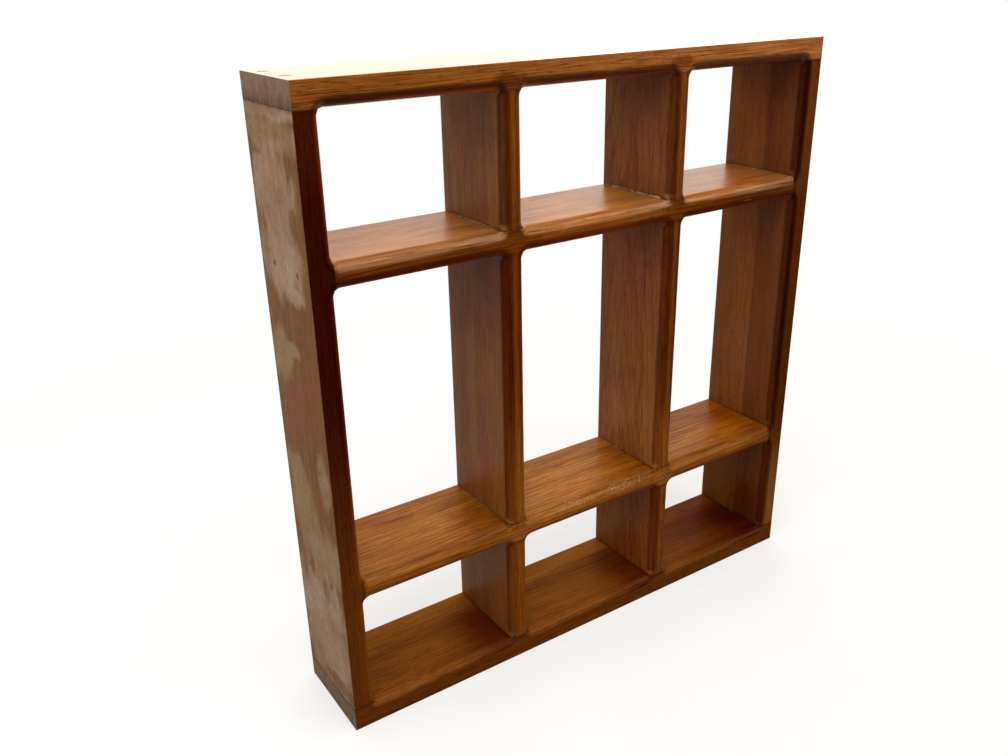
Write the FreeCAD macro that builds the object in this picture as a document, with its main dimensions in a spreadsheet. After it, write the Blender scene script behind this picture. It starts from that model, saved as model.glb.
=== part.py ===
import FreeCAD, Part
import os
import Sketcher

# An open shelving unit in solid hardwood: three columns by three rows of compartments, no back.
# X runs along the width, Y from the front to the back, Z up.
# The origin lies under the middle of the base, so the front face is at half the depth, towards -Y.

# Driving sizes in millimetres.
DRIVING_SIZES = {
    # Clear widths and heights of the compartments, read off the photograph.
    "left_bay_width": 160,
    "middle_bay_width": 171,
    "right_bay_width": 158,
    "lower_row_height": 117,
    "middle_row_height": 275,
    "upper_row_height": 118,
    "unit_depth": 101,
    # Board thicknesses.
    "top_board_thickness": 22,
    "bottom_board_thickness": 24,
    "side_board_thickness": 22,
    "shelf_thickness": 22,
    "divider_thickness": 22,
    # Quarter-round routed along the front of every compartment, and the guide roller that
    # follows the walls while it is cut, which rounds the corners of the cut.
    "round_over_radius": 9.5,
    "guide_roller_radius": 6.35,
    # Dowels: places in the depth, sizes and fits.
    "front_dowel_inset": 32,
    "rear_dowel_inset": 24,
    "corner_dowel_diameter": 10,
    "corner_dowel_grip": 28,
    "joint_dowel_diameter": 8,
    "joint_dowel_grip": 22,
    "joint_dowel_seat": 14,
    # Pegs driven through the side boards into the ends of the shelves.
    "front_peg_inset": 24,
    "rear_peg_inset": 29.5,
    "peg_diameter": 5,
    "peg_grip": 30,
    "dowel_end_bevel": 1,
    "glue_clearance": 0.1,
    "hole_end_clearance": 1,
    "cut_overrun": 5,
}

# Sizes that follow from the driving ones, written as expressions on the sheet.
LEFT_BAY = "sizes.left_bay_width"
MIDDLE_BAY = "sizes.middle_bay_width"
RIGHT_BAY = "sizes.right_bay_width"
LOWER_ROW = "sizes.lower_row_height"
MIDDLE_ROW = "sizes.middle_row_height"
UPPER_ROW = "sizes.upper_row_height"
DEPTH = "sizes.unit_depth"
TOP = "sizes.top_board_thickness"
BOTTOM = "sizes.bottom_board_thickness"
SIDE = "sizes.side_board_thickness"
SHELF = "sizes.shelf_thickness"
DIVIDER = "sizes.divider_thickness"
OVERRUN = "sizes.cut_overrun"
ROUND_OVER = "sizes.round_over_radius"
GUIDE_ROLLER = "sizes.guide_roller_radius"
INNER_WIDTH = f"({LEFT_BAY} + {MIDDLE_BAY} + {RIGHT_BAY} + 2 * {DIVIDER})"
INNER_HEIGHT = f"({LOWER_ROW} + {MIDDLE_ROW} + {UPPER_ROW} + 2 * {SHELF})"
UNIT_WIDTH = f"({INNER_WIDTH} + 2 * {SIDE})"
UNIT_HEIGHT = f"({INNER_HEIGHT} + {BOTTOM} + {TOP})"
LEFT_FACE = f"(-{UNIT_WIDTH} / 2)"
FRONT_FACE = f"(-{DEPTH} / 2)"

# Columns: clear width and distance of the left wall from the unit's left face.
COLUMNS = {
    "left": (LEFT_BAY, f"({SIDE})"),
    "middle": (MIDDLE_BAY, f"({SIDE} + {LEFT_BAY} + {DIVIDER})"),
    "right": (RIGHT_BAY, f"({SIDE} + {LEFT_BAY} + {MIDDLE_BAY} + 2 * {DIVIDER})"),
}

# Rows: clear height and height of the floor above the base.
ROWS = {
    "lower": (LOWER_ROW, f"({BOTTOM})"),
    "middle": (MIDDLE_ROW, f"({BOTTOM} + {LOWER_ROW} + {SHELF})"),
    "upper": (UPPER_ROW, f"({BOTTOM} + {LOWER_ROW} + {MIDDLE_ROW} + 2 * {SHELF})"),
}

# Dividers: distance of the left face from the unit's left face.
DIVIDER_FACES = {
    "left": f"({SIDE} + {LEFT_BAY})",
    "right": f"({SIDE} + {LEFT_BAY} + {DIVIDER} + {MIDDLE_BAY})",
}

# Shelves: height of the underside above the base.
SHELF_UNDERSIDES = {
    "lower": f"({BOTTOM} + {LOWER_ROW})",
    "upper": f"({BOTTOM} + {LOWER_ROW} + {SHELF} + {MIDDLE_ROW})",
}

# Dowel centres in the depth, from the front face, and the sizes of dowels and their holes.
FRONT_DOWEL = "sizes.front_dowel_inset"
REAR_DOWEL = f"({DEPTH} - sizes.rear_dowel_inset)"
DOWEL_DEPTHS = {"front": FRONT_DOWEL, "rear": REAR_DOWEL}
REAR_PEG = f"({DEPTH} - sizes.rear_peg_inset)"
PEG_DEPTHS = {"front": "sizes.front_peg_inset", "rear": REAR_PEG}
BEVEL = "sizes.dowel_end_bevel"
HOLE_END = "sizes.hole_end_clearance"
GRIP = "sizes.joint_dowel_grip"
SEAT = "sizes.joint_dowel_seat"
CORNER_GRIP = "sizes.corner_dowel_grip"
CORNER_RADIUS = "(sizes.corner_dowel_diameter / 2)"
JOINT_RADIUS = "(sizes.joint_dowel_diameter / 2)"
CORNER_HOLE = f"({CORNER_RADIUS} + sizes.glue_clearance)"
JOINT_HOLE = f"({JOINT_RADIUS} + sizes.glue_clearance)"
SEAT_HOLE = f"({SEAT} + {HOLE_END})"
GRIP_HOLE = f"({GRIP} + {HOLE_END})"
CORNER_GRIP_HOLE = f"({CORNER_GRIP} + {HOLE_END})"
PEG_GRIP = "sizes.peg_grip"
PEG_RADIUS = "(sizes.peg_diameter / 2)"
PEG_HOLE = f"({PEG_RADIUS} + sizes.glue_clearance)"
PEG_GRIP_HOLE = f"({PEG_GRIP} + {HOLE_END})"

# Side boards: distance of the middle of the thickness from the unit's left face.
SIDE_CENTRES = {
    "left": f"({SIDE} / 2)",
    "right": f"({UNIT_WIDTH} - {SIDE} / 2)",
}

doc = FreeCAD.newDocument("shelving_unit")


def fill_sheet():
    """Put the driving sizes on the sheet, each under its own name."""
    sheet = doc.addObject("Spreadsheet::Sheet", "sizes")
    for row, (alias, value) in enumerate(DRIVING_SIZES.items(), start=1):
        sheet.set(f"A{row}", alias)
        sheet.set(f"B{row}", str(value))
        sheet.setAlias(f"B{row}", alias)
    doc.recompute()


def read(owner, expression):
    """Return the present value of an expression on the sheet."""
    return float(owner.evalExpression(expression))


def place(piece, across, back, up):
    """Tie the place of a piece to the sheet, measured from the unit's left, front and base."""
    piece.setExpression("Placement.Base.x", f"{LEFT_FACE} + {across}")
    piece.setExpression("Placement.Base.y", f"{FRONT_FACE} + {back}")
    piece.setExpression("Placement.Base.z", up)


def new_sketch(body, name, role, offset="0"):
    """Start a sketch on one of the body's own origin planes, moved out along its normal."""
    plane = next(item for item in body.Origin.OriginFeatures if item.Role == role)
    sketch = body.newObject("Sketcher::SketchObject", name)
    sketch.AttachmentSupport = (plane, "")
    sketch.MapMode = "FlatFace"
    sketch.setExpression("AttachmentOffset.Base.z", offset)
    return sketch


def tie(sketch, expression, kind, *geometry):
    """Add a dimension to a sketch and tie it to the sheet."""
    value = read(sketch, expression)
    index = sketch.addConstraint(Sketcher.Constraint(kind, *geometry, value))
    sketch.setExpression(f"Constraints[{index}]", expression)


def draw_outline(sketch, corners):
    """Draw a closed outline through corners whose places are tied to the sheet."""
    first = sketch.GeometryCount
    points = [FreeCAD.Vector(read(sketch, x), read(sketch, y), 0) for x, y in corners]
    for start, end in zip(points, points[1:] + points[:1]):
        sketch.addGeometry(Part.LineSegment(start, end), False)
    lines = list(range(first, first + len(corners)))
    for line, following in zip(lines, lines[1:] + lines[:1]):
        sketch.addConstraint(Sketcher.Constraint("Coincident", line, 2, following, 1))
    for line, (x, y) in zip(lines, corners):
        tie(sketch, x, "DistanceX", -1, 1, line, 1)
        tie(sketch, y, "DistanceY", -1, 1, line, 1)


def draw_rectangle(sketch, left, low, width, height):
    """Draw a rectangle from its low left corner."""
    right = f"{left} + {width}"
    high = f"{low} + {height}"
    draw_outline(sketch, [(left, low), (right, low), (right, high), (left, high)])


def draw_circle(sketch, across, up, radius):
    """Draw a circle whose centre and radius are tied to the sheet."""
    centre = FreeCAD.Vector(read(sketch, across), read(sketch, up), 0)
    upright = FreeCAD.Vector(0, 0, 1)
    index = sketch.addGeometry(Part.Circle(centre, upright, read(sketch, radius)), False)
    tie(sketch, across, "DistanceX", -1, 1, index, 3)
    tie(sketch, up, "DistanceY", -1, 1, index, 3)
    tie(sketch, radius, "Radius", index)


def raise_pad(body, sketch, length, backwards=False):
    """Raise a sketch into a solid of a length tied to the sheet."""
    pad = body.newObject("PartDesign::Pad", f"{sketch.Name}_pad")
    pad.Profile = sketch
    pad.Reversed = backwards
    pad.setExpression("Length", length)
    return pad


def new_blank(name, size_x, size_y, size_z):
    """Make a squared-up board from its low left front corner."""
    body = doc.addObject("PartDesign::Body", f"{name}_blank")
    outline = new_sketch(body, f"{name}_outline", "XY_Plane")
    draw_rectangle(outline, "0", "0", size_x, size_y)
    raise_pad(body, outline, size_z)
    doc.recompute()
    return body


def drill_pair(body, name, axis, start, length, across, radius, depths):
    """Drill the front and the rear hole of a dowel joint.

    The holes run along the axis, Z or X, over the length from the start on. Their centres lie at
    the distance across: along X for upright holes, and along Z for level ones.
    """
    before = body.Shape.Volume
    plane = {"Z": "XY_Plane", "X": "YZ_Plane"}[axis]
    sketch = new_sketch(body, f"{body.Name}_{name}", plane, start)
    for back in depths.values():
        centre = (across, back) if axis == "Z" else (back, across)
        draw_circle(sketch, *centre, radius)
    pocket = body.newObject("PartDesign::Pocket", f"{body.Name}_{name}_bore")
    pocket.Profile = sketch
    pocket.Reversed = True
    pocket.setExpression("Length", length)
    doc.recompute()
    if body.Shape.Volume >= before:
        raise RuntimeError(f"{body.Name}: {name} removes nothing")


def drill_near_face(body, name, axis, depth, across, radius, depths=DOWEL_DEPTHS):
    """Drill a pair of holes into the face of a board where the axis starts."""
    length = f"{depth} + {OVERRUN}"
    drill_pair(body, name, axis, f"-{OVERRUN}", length, across, radius, depths)


def drill_far_face(body, name, axis, size, depth, across, radius, depths=DOWEL_DEPTHS):
    """Drill a pair of holes into the face of a board that lies at its size along the axis."""
    length = f"{depth} + {OVERRUN}"
    drill_pair(body, name, axis, f"{size} - {depth}", length, across, radius, depths)


def drill_through(body, name, axis, size, across, radius, depths=DOWEL_DEPTHS):
    """Drill a pair of holes through a board of a size along the axis."""
    length = f"{size} + 2 * {OVERRUN}"
    drill_pair(body, name, axis, f"-{OVERRUN}", length, across, radius, depths)


def round_edges(body, name, base, wanted, radius):
    """Round the edges of a feature whose middle point is wanted."""
    numbered = enumerate(base.Shape.Edges, start=1)
    edges = [f"Edge{number}" for number, edge in numbered if wanted(edge.CenterOfMass)]
    fillet = body.newObject("PartDesign::Fillet", name)
    fillet.Base = (base, edges)
    fillet.setExpression("Radius", radius)
    doc.recompute()
    return fillet


def make_router_sweep():
    """Make the body that the router sweeps out along the front of all the compartments.

    It is a plate just in front of the unit with a block behind it in each compartment. The
    blocks' corners take the radius of the guide roller, and the hollow round where a block
    meets the plate is what leaves the quarter-round on the boards.
    """
    body = doc.addObject("PartDesign::Body", "router_sweep")
    place(body, "0", "0", "0")
    plate = new_sketch(body, "plate_outline", "XZ_Plane")
    draw_rectangle(plate, "0", "0", UNIT_WIDTH, UNIT_HEIGHT)
    raise_pad(body, plate, OVERRUN)
    openings = new_sketch(body, "opening_outlines", "XZ_Plane")
    for width, left in COLUMNS.values():
        for height, floor in ROWS.values():
            draw_rectangle(openings, left, floor, width, height)
    blocks = raise_pad(body, openings, f"{ROUND_OVER} + {OVERRUN}", backwards=True)
    doc.recompute()
    middle_depth = blocks.Shape.BoundBox.YMax / 2
    edge_margin = read(body, SIDE) / 2
    right_limit = read(body, UNIT_WIDTH) - edge_margin
    top_limit = read(body, UNIT_HEIGHT) - edge_margin

    def on_block_corner(point):
        return abs(point.y - middle_depth) < middle_depth / 2

    def on_plate_loop(point):
        inside_width = edge_margin < point.x < right_limit
        inside_height = edge_margin < point.z < top_limit
        return inside_width and inside_height and abs(point.y) < middle_depth / 2

    guided = round_edges(body, "guided_corners", blocks, on_block_corner, GUIDE_ROLLER)
    round_edges(body, "hollow_rounds", guided, on_plate_loop, ROUND_OVER)
    return body


def rout(body, label, sweep):
    """Cut the quarter-rounds on a board's front and give the finished board its name."""
    board = doc.addObject("Part::Cut", label)
    board.Label = label
    board.Base = body
    board.Tool = sweep
    board.Refine = True
    return board


def make_top_board(sweep):
    """Make the top board, which lies over the side boards."""
    body = new_blank("top_board", UNIT_WIDTH, DEPTH, TOP)
    place(body, "0", "0", f"{UNIT_HEIGHT} - {TOP}")
    for side, across in SIDE_CENTRES.items():
        drill_through(body, f"{side}_corner", "Z", TOP, across, CORNER_HOLE)
    for side, face in DIVIDER_FACES.items():
        across = f"{face} + {DIVIDER} / 2"
        drill_near_face(body, f"{side}_divider", "Z", SEAT_HOLE, across, JOINT_HOLE)
    return rout(body, "top_board", sweep)


def make_bottom_board(sweep):
    """Make the bottom board, which carries the side boards."""
    body = new_blank("bottom_board", UNIT_WIDTH, DEPTH, BOTTOM)
    place(body, "0", "0", "0")
    for side, across in SIDE_CENTRES.items():
        drill_through(body, f"{side}_corner", "Z", BOTTOM, across, CORNER_HOLE)
    for side, face in DIVIDER_FACES.items():
        across = f"{face} + {DIVIDER} / 2"
        drill_far_face(body, f"{side}_divider", "Z", BOTTOM, SEAT_HOLE, across, JOINT_HOLE)
    return rout(body, "bottom_board", sweep)


def make_side_board(side, sweep):
    """Make the left or the right side board, in one length between top and bottom board."""
    label = f"{side}_side_board"
    body = new_blank(label, SIDE, DEPTH, INNER_HEIGHT)
    left = {"left": "0", "right": f"({UNIT_WIDTH} - {SIDE})"}[side]
    place(body, left, "0", BOTTOM)
    middle = f"{SIDE} / 2"
    drill_near_face(body, "foot", "Z", CORNER_GRIP_HOLE, middle, CORNER_HOLE)
    drill_far_face(body, "head", "Z", INNER_HEIGHT, CORNER_GRIP_HOLE, middle, CORNER_HOLE)
    for level, underside in SHELF_UNDERSIDES.items():
        up = f"{underside} + {SHELF} / 2 - {BOTTOM}"
        drill_through(body, f"{level}_shelf", "X", SIDE, up, PEG_HOLE, PEG_DEPTHS)
    return rout(body, label, sweep)


def make_shelf(level, sweep):
    """Make the lower or the upper shelf, in one length between the side boards."""
    label = f"{level}_shelf"
    body = new_blank(label, INNER_WIDTH, DEPTH, SHELF)
    place(body, SIDE, "0", SHELF_UNDERSIDES[level])
    middle = f"{SHELF} / 2"
    end_pair = (PEG_GRIP_HOLE, middle, PEG_HOLE, PEG_DEPTHS)
    drill_near_face(body, "left_end", "X", *end_pair)
    drill_far_face(body, "right_end", "X", INNER_WIDTH, *end_pair)
    for side, face in DIVIDER_FACES.items():
        across = f"{face} + {DIVIDER} / 2 - {SIDE}"
        drill_through(body, f"{side}_crossing", "Z", SHELF, across, JOINT_HOLE)
    return rout(body, label, sweep)


def make_divider(row, side, sweep):
    """Make one divider, which stands in one row between two level boards."""
    label = f"{row}_{side}_divider"
    height, floor = ROWS[row]
    body = new_blank(label, DIVIDER, DEPTH, height)
    place(body, DIVIDER_FACES[side], "0", floor)
    middle = f"{DIVIDER} / 2"
    drill_near_face(body, "foot", "Z", GRIP_HOLE, middle, JOINT_HOLE)
    drill_far_face(body, "head", "Z", height, GRIP_HOLE, middle, JOINT_HOLE)
    return rout(body, label, sweep)


def make_dowel(name, radius, length, end_bevel):
    """Turn one dowel that stands on its bevelled end; the other end has a bevel of its own."""
    body = doc.addObject("PartDesign::Body", name)
    profile = new_sketch(body, f"{name}_profile", "XZ_Plane")
    corners = [
        ("0", "0"),
        (f"{radius} - {BEVEL}", "0"),
        (radius, BEVEL),
        (radius, f"{length} - {end_bevel}"),
        (f"{radius} - {end_bevel}", length),
        ("0", length),
    ]
    if end_bevel == "0":
        corners.pop(3)
    draw_outline(profile, corners)
    turned = body.newObject("PartDesign::Revolution", f"{name}_turned")
    turned.Profile = profile
    turned.ReferenceAxis = (profile, ["V_Axis"])
    return body


def make_dowel_pair(label, joint, direction, across, up, depths=DOWEL_DEPTHS):
    """Make the front and the rear dowel of a joint, from the place where both start."""
    radius, length, end_bevel = joint
    turn = {
        "up": FreeCAD.Rotation(),
        "down": FreeCAD.Rotation(FreeCAD.Vector(1, 0, 0), 180),
        "right": FreeCAD.Rotation(FreeCAD.Vector(0, 1, 0), 90),
        "left": FreeCAD.Rotation(FreeCAD.Vector(0, 1, 0), -90),
    }[direction]
    pair = []
    for spot, back in depths.items():
        dowel = make_dowel(f"{label}_{spot}", radius, length, end_bevel)
        dowel.Placement = FreeCAD.Placement(FreeCAD.Vector(), turn)
        place(dowel, across, back, up)
        pair.append(dowel)
    group = doc.addObject("Part::Compound", label)
    group.Label = label
    group.Links = pair
    return group


def make_corner_dowels():
    """Make the dowels that run through the top and the bottom board into the side boards."""
    top_joint = (CORNER_RADIUS, f"({TOP} + {CORNER_GRIP})", "0")
    bottom_joint = (CORNER_RADIUS, f"({BOTTOM} + {CORNER_GRIP})", "0")
    top_start = f"{UNIT_HEIGHT} - {TOP} - {CORNER_GRIP}"
    bottom_start = f"{BOTTOM} + {CORNER_GRIP}"
    groups = []
    for side, across in SIDE_CENTRES.items():
        label = f"top_{side}_corner_dowels"
        groups.append(make_dowel_pair(label, top_joint, "up", across, top_start))
        label = f"bottom_{side}_corner_dowels"
        groups.append(make_dowel_pair(label, bottom_joint, "down", across, bottom_start))
    return groups


def make_shelf_end_dowels():
    """Make the pegs that run through the side boards into the ends of the shelves."""
    joint = (PEG_RADIUS, f"({SIDE} + {PEG_GRIP})", "0")
    starts = {
        "left": f"{SIDE} + {PEG_GRIP}",
        "right": f"{UNIT_WIDTH} - {SIDE} - {PEG_GRIP}",
    }
    groups = []
    for level, underside in SHELF_UNDERSIDES.items():
        up = f"{underside} + {SHELF} / 2"
        for side, across in starts.items():
            label = f"{level}_shelf_{side}_end_dowels"
            pair = make_dowel_pair(label, joint, side, across, up, PEG_DEPTHS)
            groups.append(pair)
    return groups


def make_divider_dowels():
    """Make the dowels at the crossings and at the outer ends of the dividers."""
    crossing = (JOINT_RADIUS, f"({SHELF} + 2 * {GRIP})", BEVEL)
    board_end = (JOINT_RADIUS, f"({SEAT} + {GRIP})", BEVEL)
    groups = []
    for side, face in DIVIDER_FACES.items():
        across = f"{face} + {DIVIDER} / 2"
        for level, underside in SHELF_UNDERSIDES.items():
            label = f"{level}_{side}_crossing_dowels"
            start = f"{underside} - {GRIP}"
            groups.append(make_dowel_pair(label, crossing, "up", across, start))
        label = f"{side}_divider_foot_dowels"
        start = f"{BOTTOM} - {SEAT}"
        groups.append(make_dowel_pair(label, board_end, "up", across, start))
        label = f"{side}_divider_head_dowels"
        start = f"{UNIT_HEIGHT} - {TOP} - {GRIP}"
        groups.append(make_dowel_pair(label, board_end, "up", across, start))
    return groups


def make_boards():
    """Make all twelve boards."""
    sweep = make_router_sweep()
    boards = [make_top_board(sweep), make_bottom_board(sweep)]
    boards += [make_side_board(side, sweep) for side in SIDE_CENTRES]
    boards += [make_shelf(level, sweep) for level in SHELF_UNDERSIDES]
    boards += [make_divider(row, side, sweep) for row in ROWS for side in DIVIDER_FACES]
    return boards


def check_document(nodes):
    """Stop if any object failed, or if a piece has no sound shape."""
    for item in doc.Objects:
        if "Invalid" in item.State or "Error" in item.State:
            raise RuntimeError(f"{item.Name} failed: {item.State}")
    for node in nodes:
        if node.Shape.isNull() or not node.Shape.isValid() or not node.Shape.Solids:
            raise RuntimeError(f"{node.Label} has no sound shape")


def write_parts(nodes):
    """Write each piece to a file of its own name."""
    os.makedirs("parts", exist_ok=True)
    for node in nodes:
        node.Shape.exportStep(f"parts/{node.Label}.step")
        solids = len(node.Shape.Solids)
        print(f"{node.Label}: {solids} solid(s), {node.Shape.Volume:.0f} mm3")


fill_sheet()
pieces = make_boards()
pieces += make_corner_dowels()
pieces += make_shelf_end_dowels()
pieces += make_divider_dowels()
doc.recompute()
check_document(pieces)
write_parts(pieces)
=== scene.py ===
"""An open shelving unit in oiled hardwood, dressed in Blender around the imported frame."""

import logging
import math
from abc import ABC, abstractmethod
from dataclasses import dataclass, field
from enum import Enum

import bmesh
import bpy
from mathutils import Matrix, Vector, noise


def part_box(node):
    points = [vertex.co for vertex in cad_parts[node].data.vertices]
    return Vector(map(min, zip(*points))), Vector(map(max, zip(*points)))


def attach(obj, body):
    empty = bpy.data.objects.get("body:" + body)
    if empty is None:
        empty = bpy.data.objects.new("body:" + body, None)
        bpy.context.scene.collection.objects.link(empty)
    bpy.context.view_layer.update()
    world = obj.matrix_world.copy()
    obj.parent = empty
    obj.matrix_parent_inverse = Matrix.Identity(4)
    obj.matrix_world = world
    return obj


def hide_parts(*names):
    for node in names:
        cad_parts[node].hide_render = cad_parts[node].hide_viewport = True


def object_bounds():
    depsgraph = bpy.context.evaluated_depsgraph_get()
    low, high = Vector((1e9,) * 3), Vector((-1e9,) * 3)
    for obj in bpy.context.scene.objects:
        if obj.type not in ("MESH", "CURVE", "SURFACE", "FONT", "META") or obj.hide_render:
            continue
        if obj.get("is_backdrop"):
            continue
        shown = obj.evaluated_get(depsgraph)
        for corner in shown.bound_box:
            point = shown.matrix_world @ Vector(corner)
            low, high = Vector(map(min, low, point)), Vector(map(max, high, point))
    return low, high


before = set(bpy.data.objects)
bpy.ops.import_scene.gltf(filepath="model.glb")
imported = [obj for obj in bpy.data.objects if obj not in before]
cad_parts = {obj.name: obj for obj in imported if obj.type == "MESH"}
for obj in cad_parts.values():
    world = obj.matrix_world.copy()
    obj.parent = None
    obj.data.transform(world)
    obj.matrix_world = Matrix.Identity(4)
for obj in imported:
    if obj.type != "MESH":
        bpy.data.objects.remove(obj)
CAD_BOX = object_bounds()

LOG = logging.getLogger("shelving_unit")
MM = 0.001
BODY = "root"
PICTURE_WIDTH = 1008
SHARP_ANGLE = math.radians(38)
SEAM_REACH = 8 * MM
LEFT, FRONT = CAD_BOX[0][:2]
BACK = CAD_BOX[1][1]

Material = bpy.types.Material
Piece = bpy.types.Object
Socket = bpy.types.NodeSocket
Triple = tuple[float, float, float]
Spans = tuple[tuple[float, float], ...]

# Colour factors that change nothing.
PLAIN: Triple = (1.0, 1.0, 1.0)


def linear(code: str) -> tuple[float, float, float, float]:
    """Turn an sRGB hex colour to the linear colour that a shader takes.

    Args:
        code: Six hex digits, with or without a leading #.

    Returns:
        Red, green, blue and a full alpha.
    """
    digits = code.lstrip("#")
    channels = [int(digits[place : place + 2], 16) / 255 for place in (0, 2, 4)]
    straight = [c / 12.92 if c <= 0.04045 else ((c + 0.055) / 1.055) ** 2.4 for c in channels]
    return (*straight, 1.0)


def blank_material(name: str) -> Material:
    """Make a material with an empty node tree.

    Args:
        name: The material's name.

    Returns:
        The material.
    """
    material = bpy.data.materials.new(name)
    material.use_nodes = True
    material.node_tree.nodes.clear()
    return material


def stand(name: str, mesh: bpy.types.Mesh) -> Piece:
    """Put a mesh into the scene.

    Args:
        name: The new object's name.
        mesh: Its mesh.

    Returns:
        The object, untransformed.
    """
    piece = bpy.data.objects.new(name, mesh)
    bpy.context.scene.collection.objects.link(piece)
    return piece


def seat(piece: Piece, slot: str, *nodes: str) -> None:
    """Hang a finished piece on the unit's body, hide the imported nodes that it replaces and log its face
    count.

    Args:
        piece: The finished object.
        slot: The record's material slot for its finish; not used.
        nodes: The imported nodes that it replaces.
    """
    if nodes:
        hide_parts(*nodes)
    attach(piece, BODY)
    LOG.info("%s: %d faces", piece.name, len(piece.data.polygons))


def bake_modifiers(piece: Piece) -> None:
    """Turn a piece's evaluated shape into its plain mesh and drop its modifiers.

    Args:
        piece: The object with live modifiers.
    """
    graph = bpy.context.evaluated_depsgraph_get()
    mesh = bpy.data.meshes.new_from_object(piece.evaluated_get(graph))
    mesh.name = piece.name
    piece.modifiers.clear()
    piece.data = mesh


def smooth_but_sharp(piece: Piece) -> None:
    """Shade a piece smooth and keep its real edges sharp."""
    piece.data.shade_smooth()
    piece.data.set_sharp_from_angle(angle=SHARP_ANGLE)


class Graph:
    """A node tree while it is being built."""

    def __init__(self, tree: bpy.types.NodeTree) -> None:
        """Start on the tree that gets the nodes."""
        self.tree = tree

    def add(
        self,
        kind: str,
        inputs: dict | None = None,
        out: int | str = 0,
        stops: dict | None = None,
        **settings: object,
    ) -> Socket | bpy.types.Node:
        """Add a node with its settings and links.

        Args:
            kind: Blender's name for the node type.
            inputs: What goes into each input socket: another node's output, or a plain value.
            out: Which output socket to hand back.
            stops: A colour ramp's colours by their positions.
            settings: Properties of the node itself.

        Returns:
            The wanted output socket, or the node where it has none.
        """
        node = self.tree.nodes.new(kind)
        for name, value in settings.items():
            setattr(node, name, value)
        for name, value in (inputs or {}).items():
            if isinstance(value, Socket):
                self.tree.links.new(value, node.inputs[name])
            else:
                node.inputs[name].default_value = value
        for index, (position, colour) in enumerate(sorted((stops or {}).items())):
            elements = node.color_ramp.elements
            stop = elements[index] if index < len(elements) else elements.new(position)
            stop.position = position
            stop.color = colour
        return node.outputs[out] if node.outputs else node


class Run(Enum):
    """Which way a board's length, and so its grain, runs."""

    LEVEL = 0
    UPRIGHT = 2

    @property
    def across(self) -> int:
        """The axis of the board's thickness."""
        return 2 - self.value

    @property
    def turn(self) -> Triple:
        """The turn from Z to this run's axis."""
        return (0.0, math.pi / 2, 0.0) if self is Run.LEVEL else (0.0, 0.0, 0.0)

    @property
    def grain_turn(self) -> Triple:
        """The turn that lays the grain along Z for a solid pattern."""
        return (0.0, -math.pi / 2, 0.0) if self is Run.LEVEL else (0.0, 0.0, 0.0)


@dataclass(frozen=True)
class RouterCut:
    """The quarter-round that a guided router leaves along the front of each compartment."""

    radius: float = 9.5 * MM
    roller: float = 6.35 * MM

    def reach(self, inside: float, into: float) -> float:
        """Distance from the cut's edge, of a point placed as for depth; 0 at the edge."""
        return math.hypot(max(0.0, self.roller - inside), self.roller + into) - self.roller

    def depth(self, inside: float, into: float) -> float:
        """How far the front is cut back at a point.

        Args:
            inside: How far along the board the point lies inside a compartment.
            into: How deep the point lies in the board, from the compartment's wall.

        Returns:
            The cut-back from the front plane.
        """
        spread = self.reach(inside, into)
        if spread >= self.radius:
            return 0.0
        return self.radius - math.sqrt(self.radius**2 - (self.radius - max(0.0, spread)) ** 2)


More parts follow.
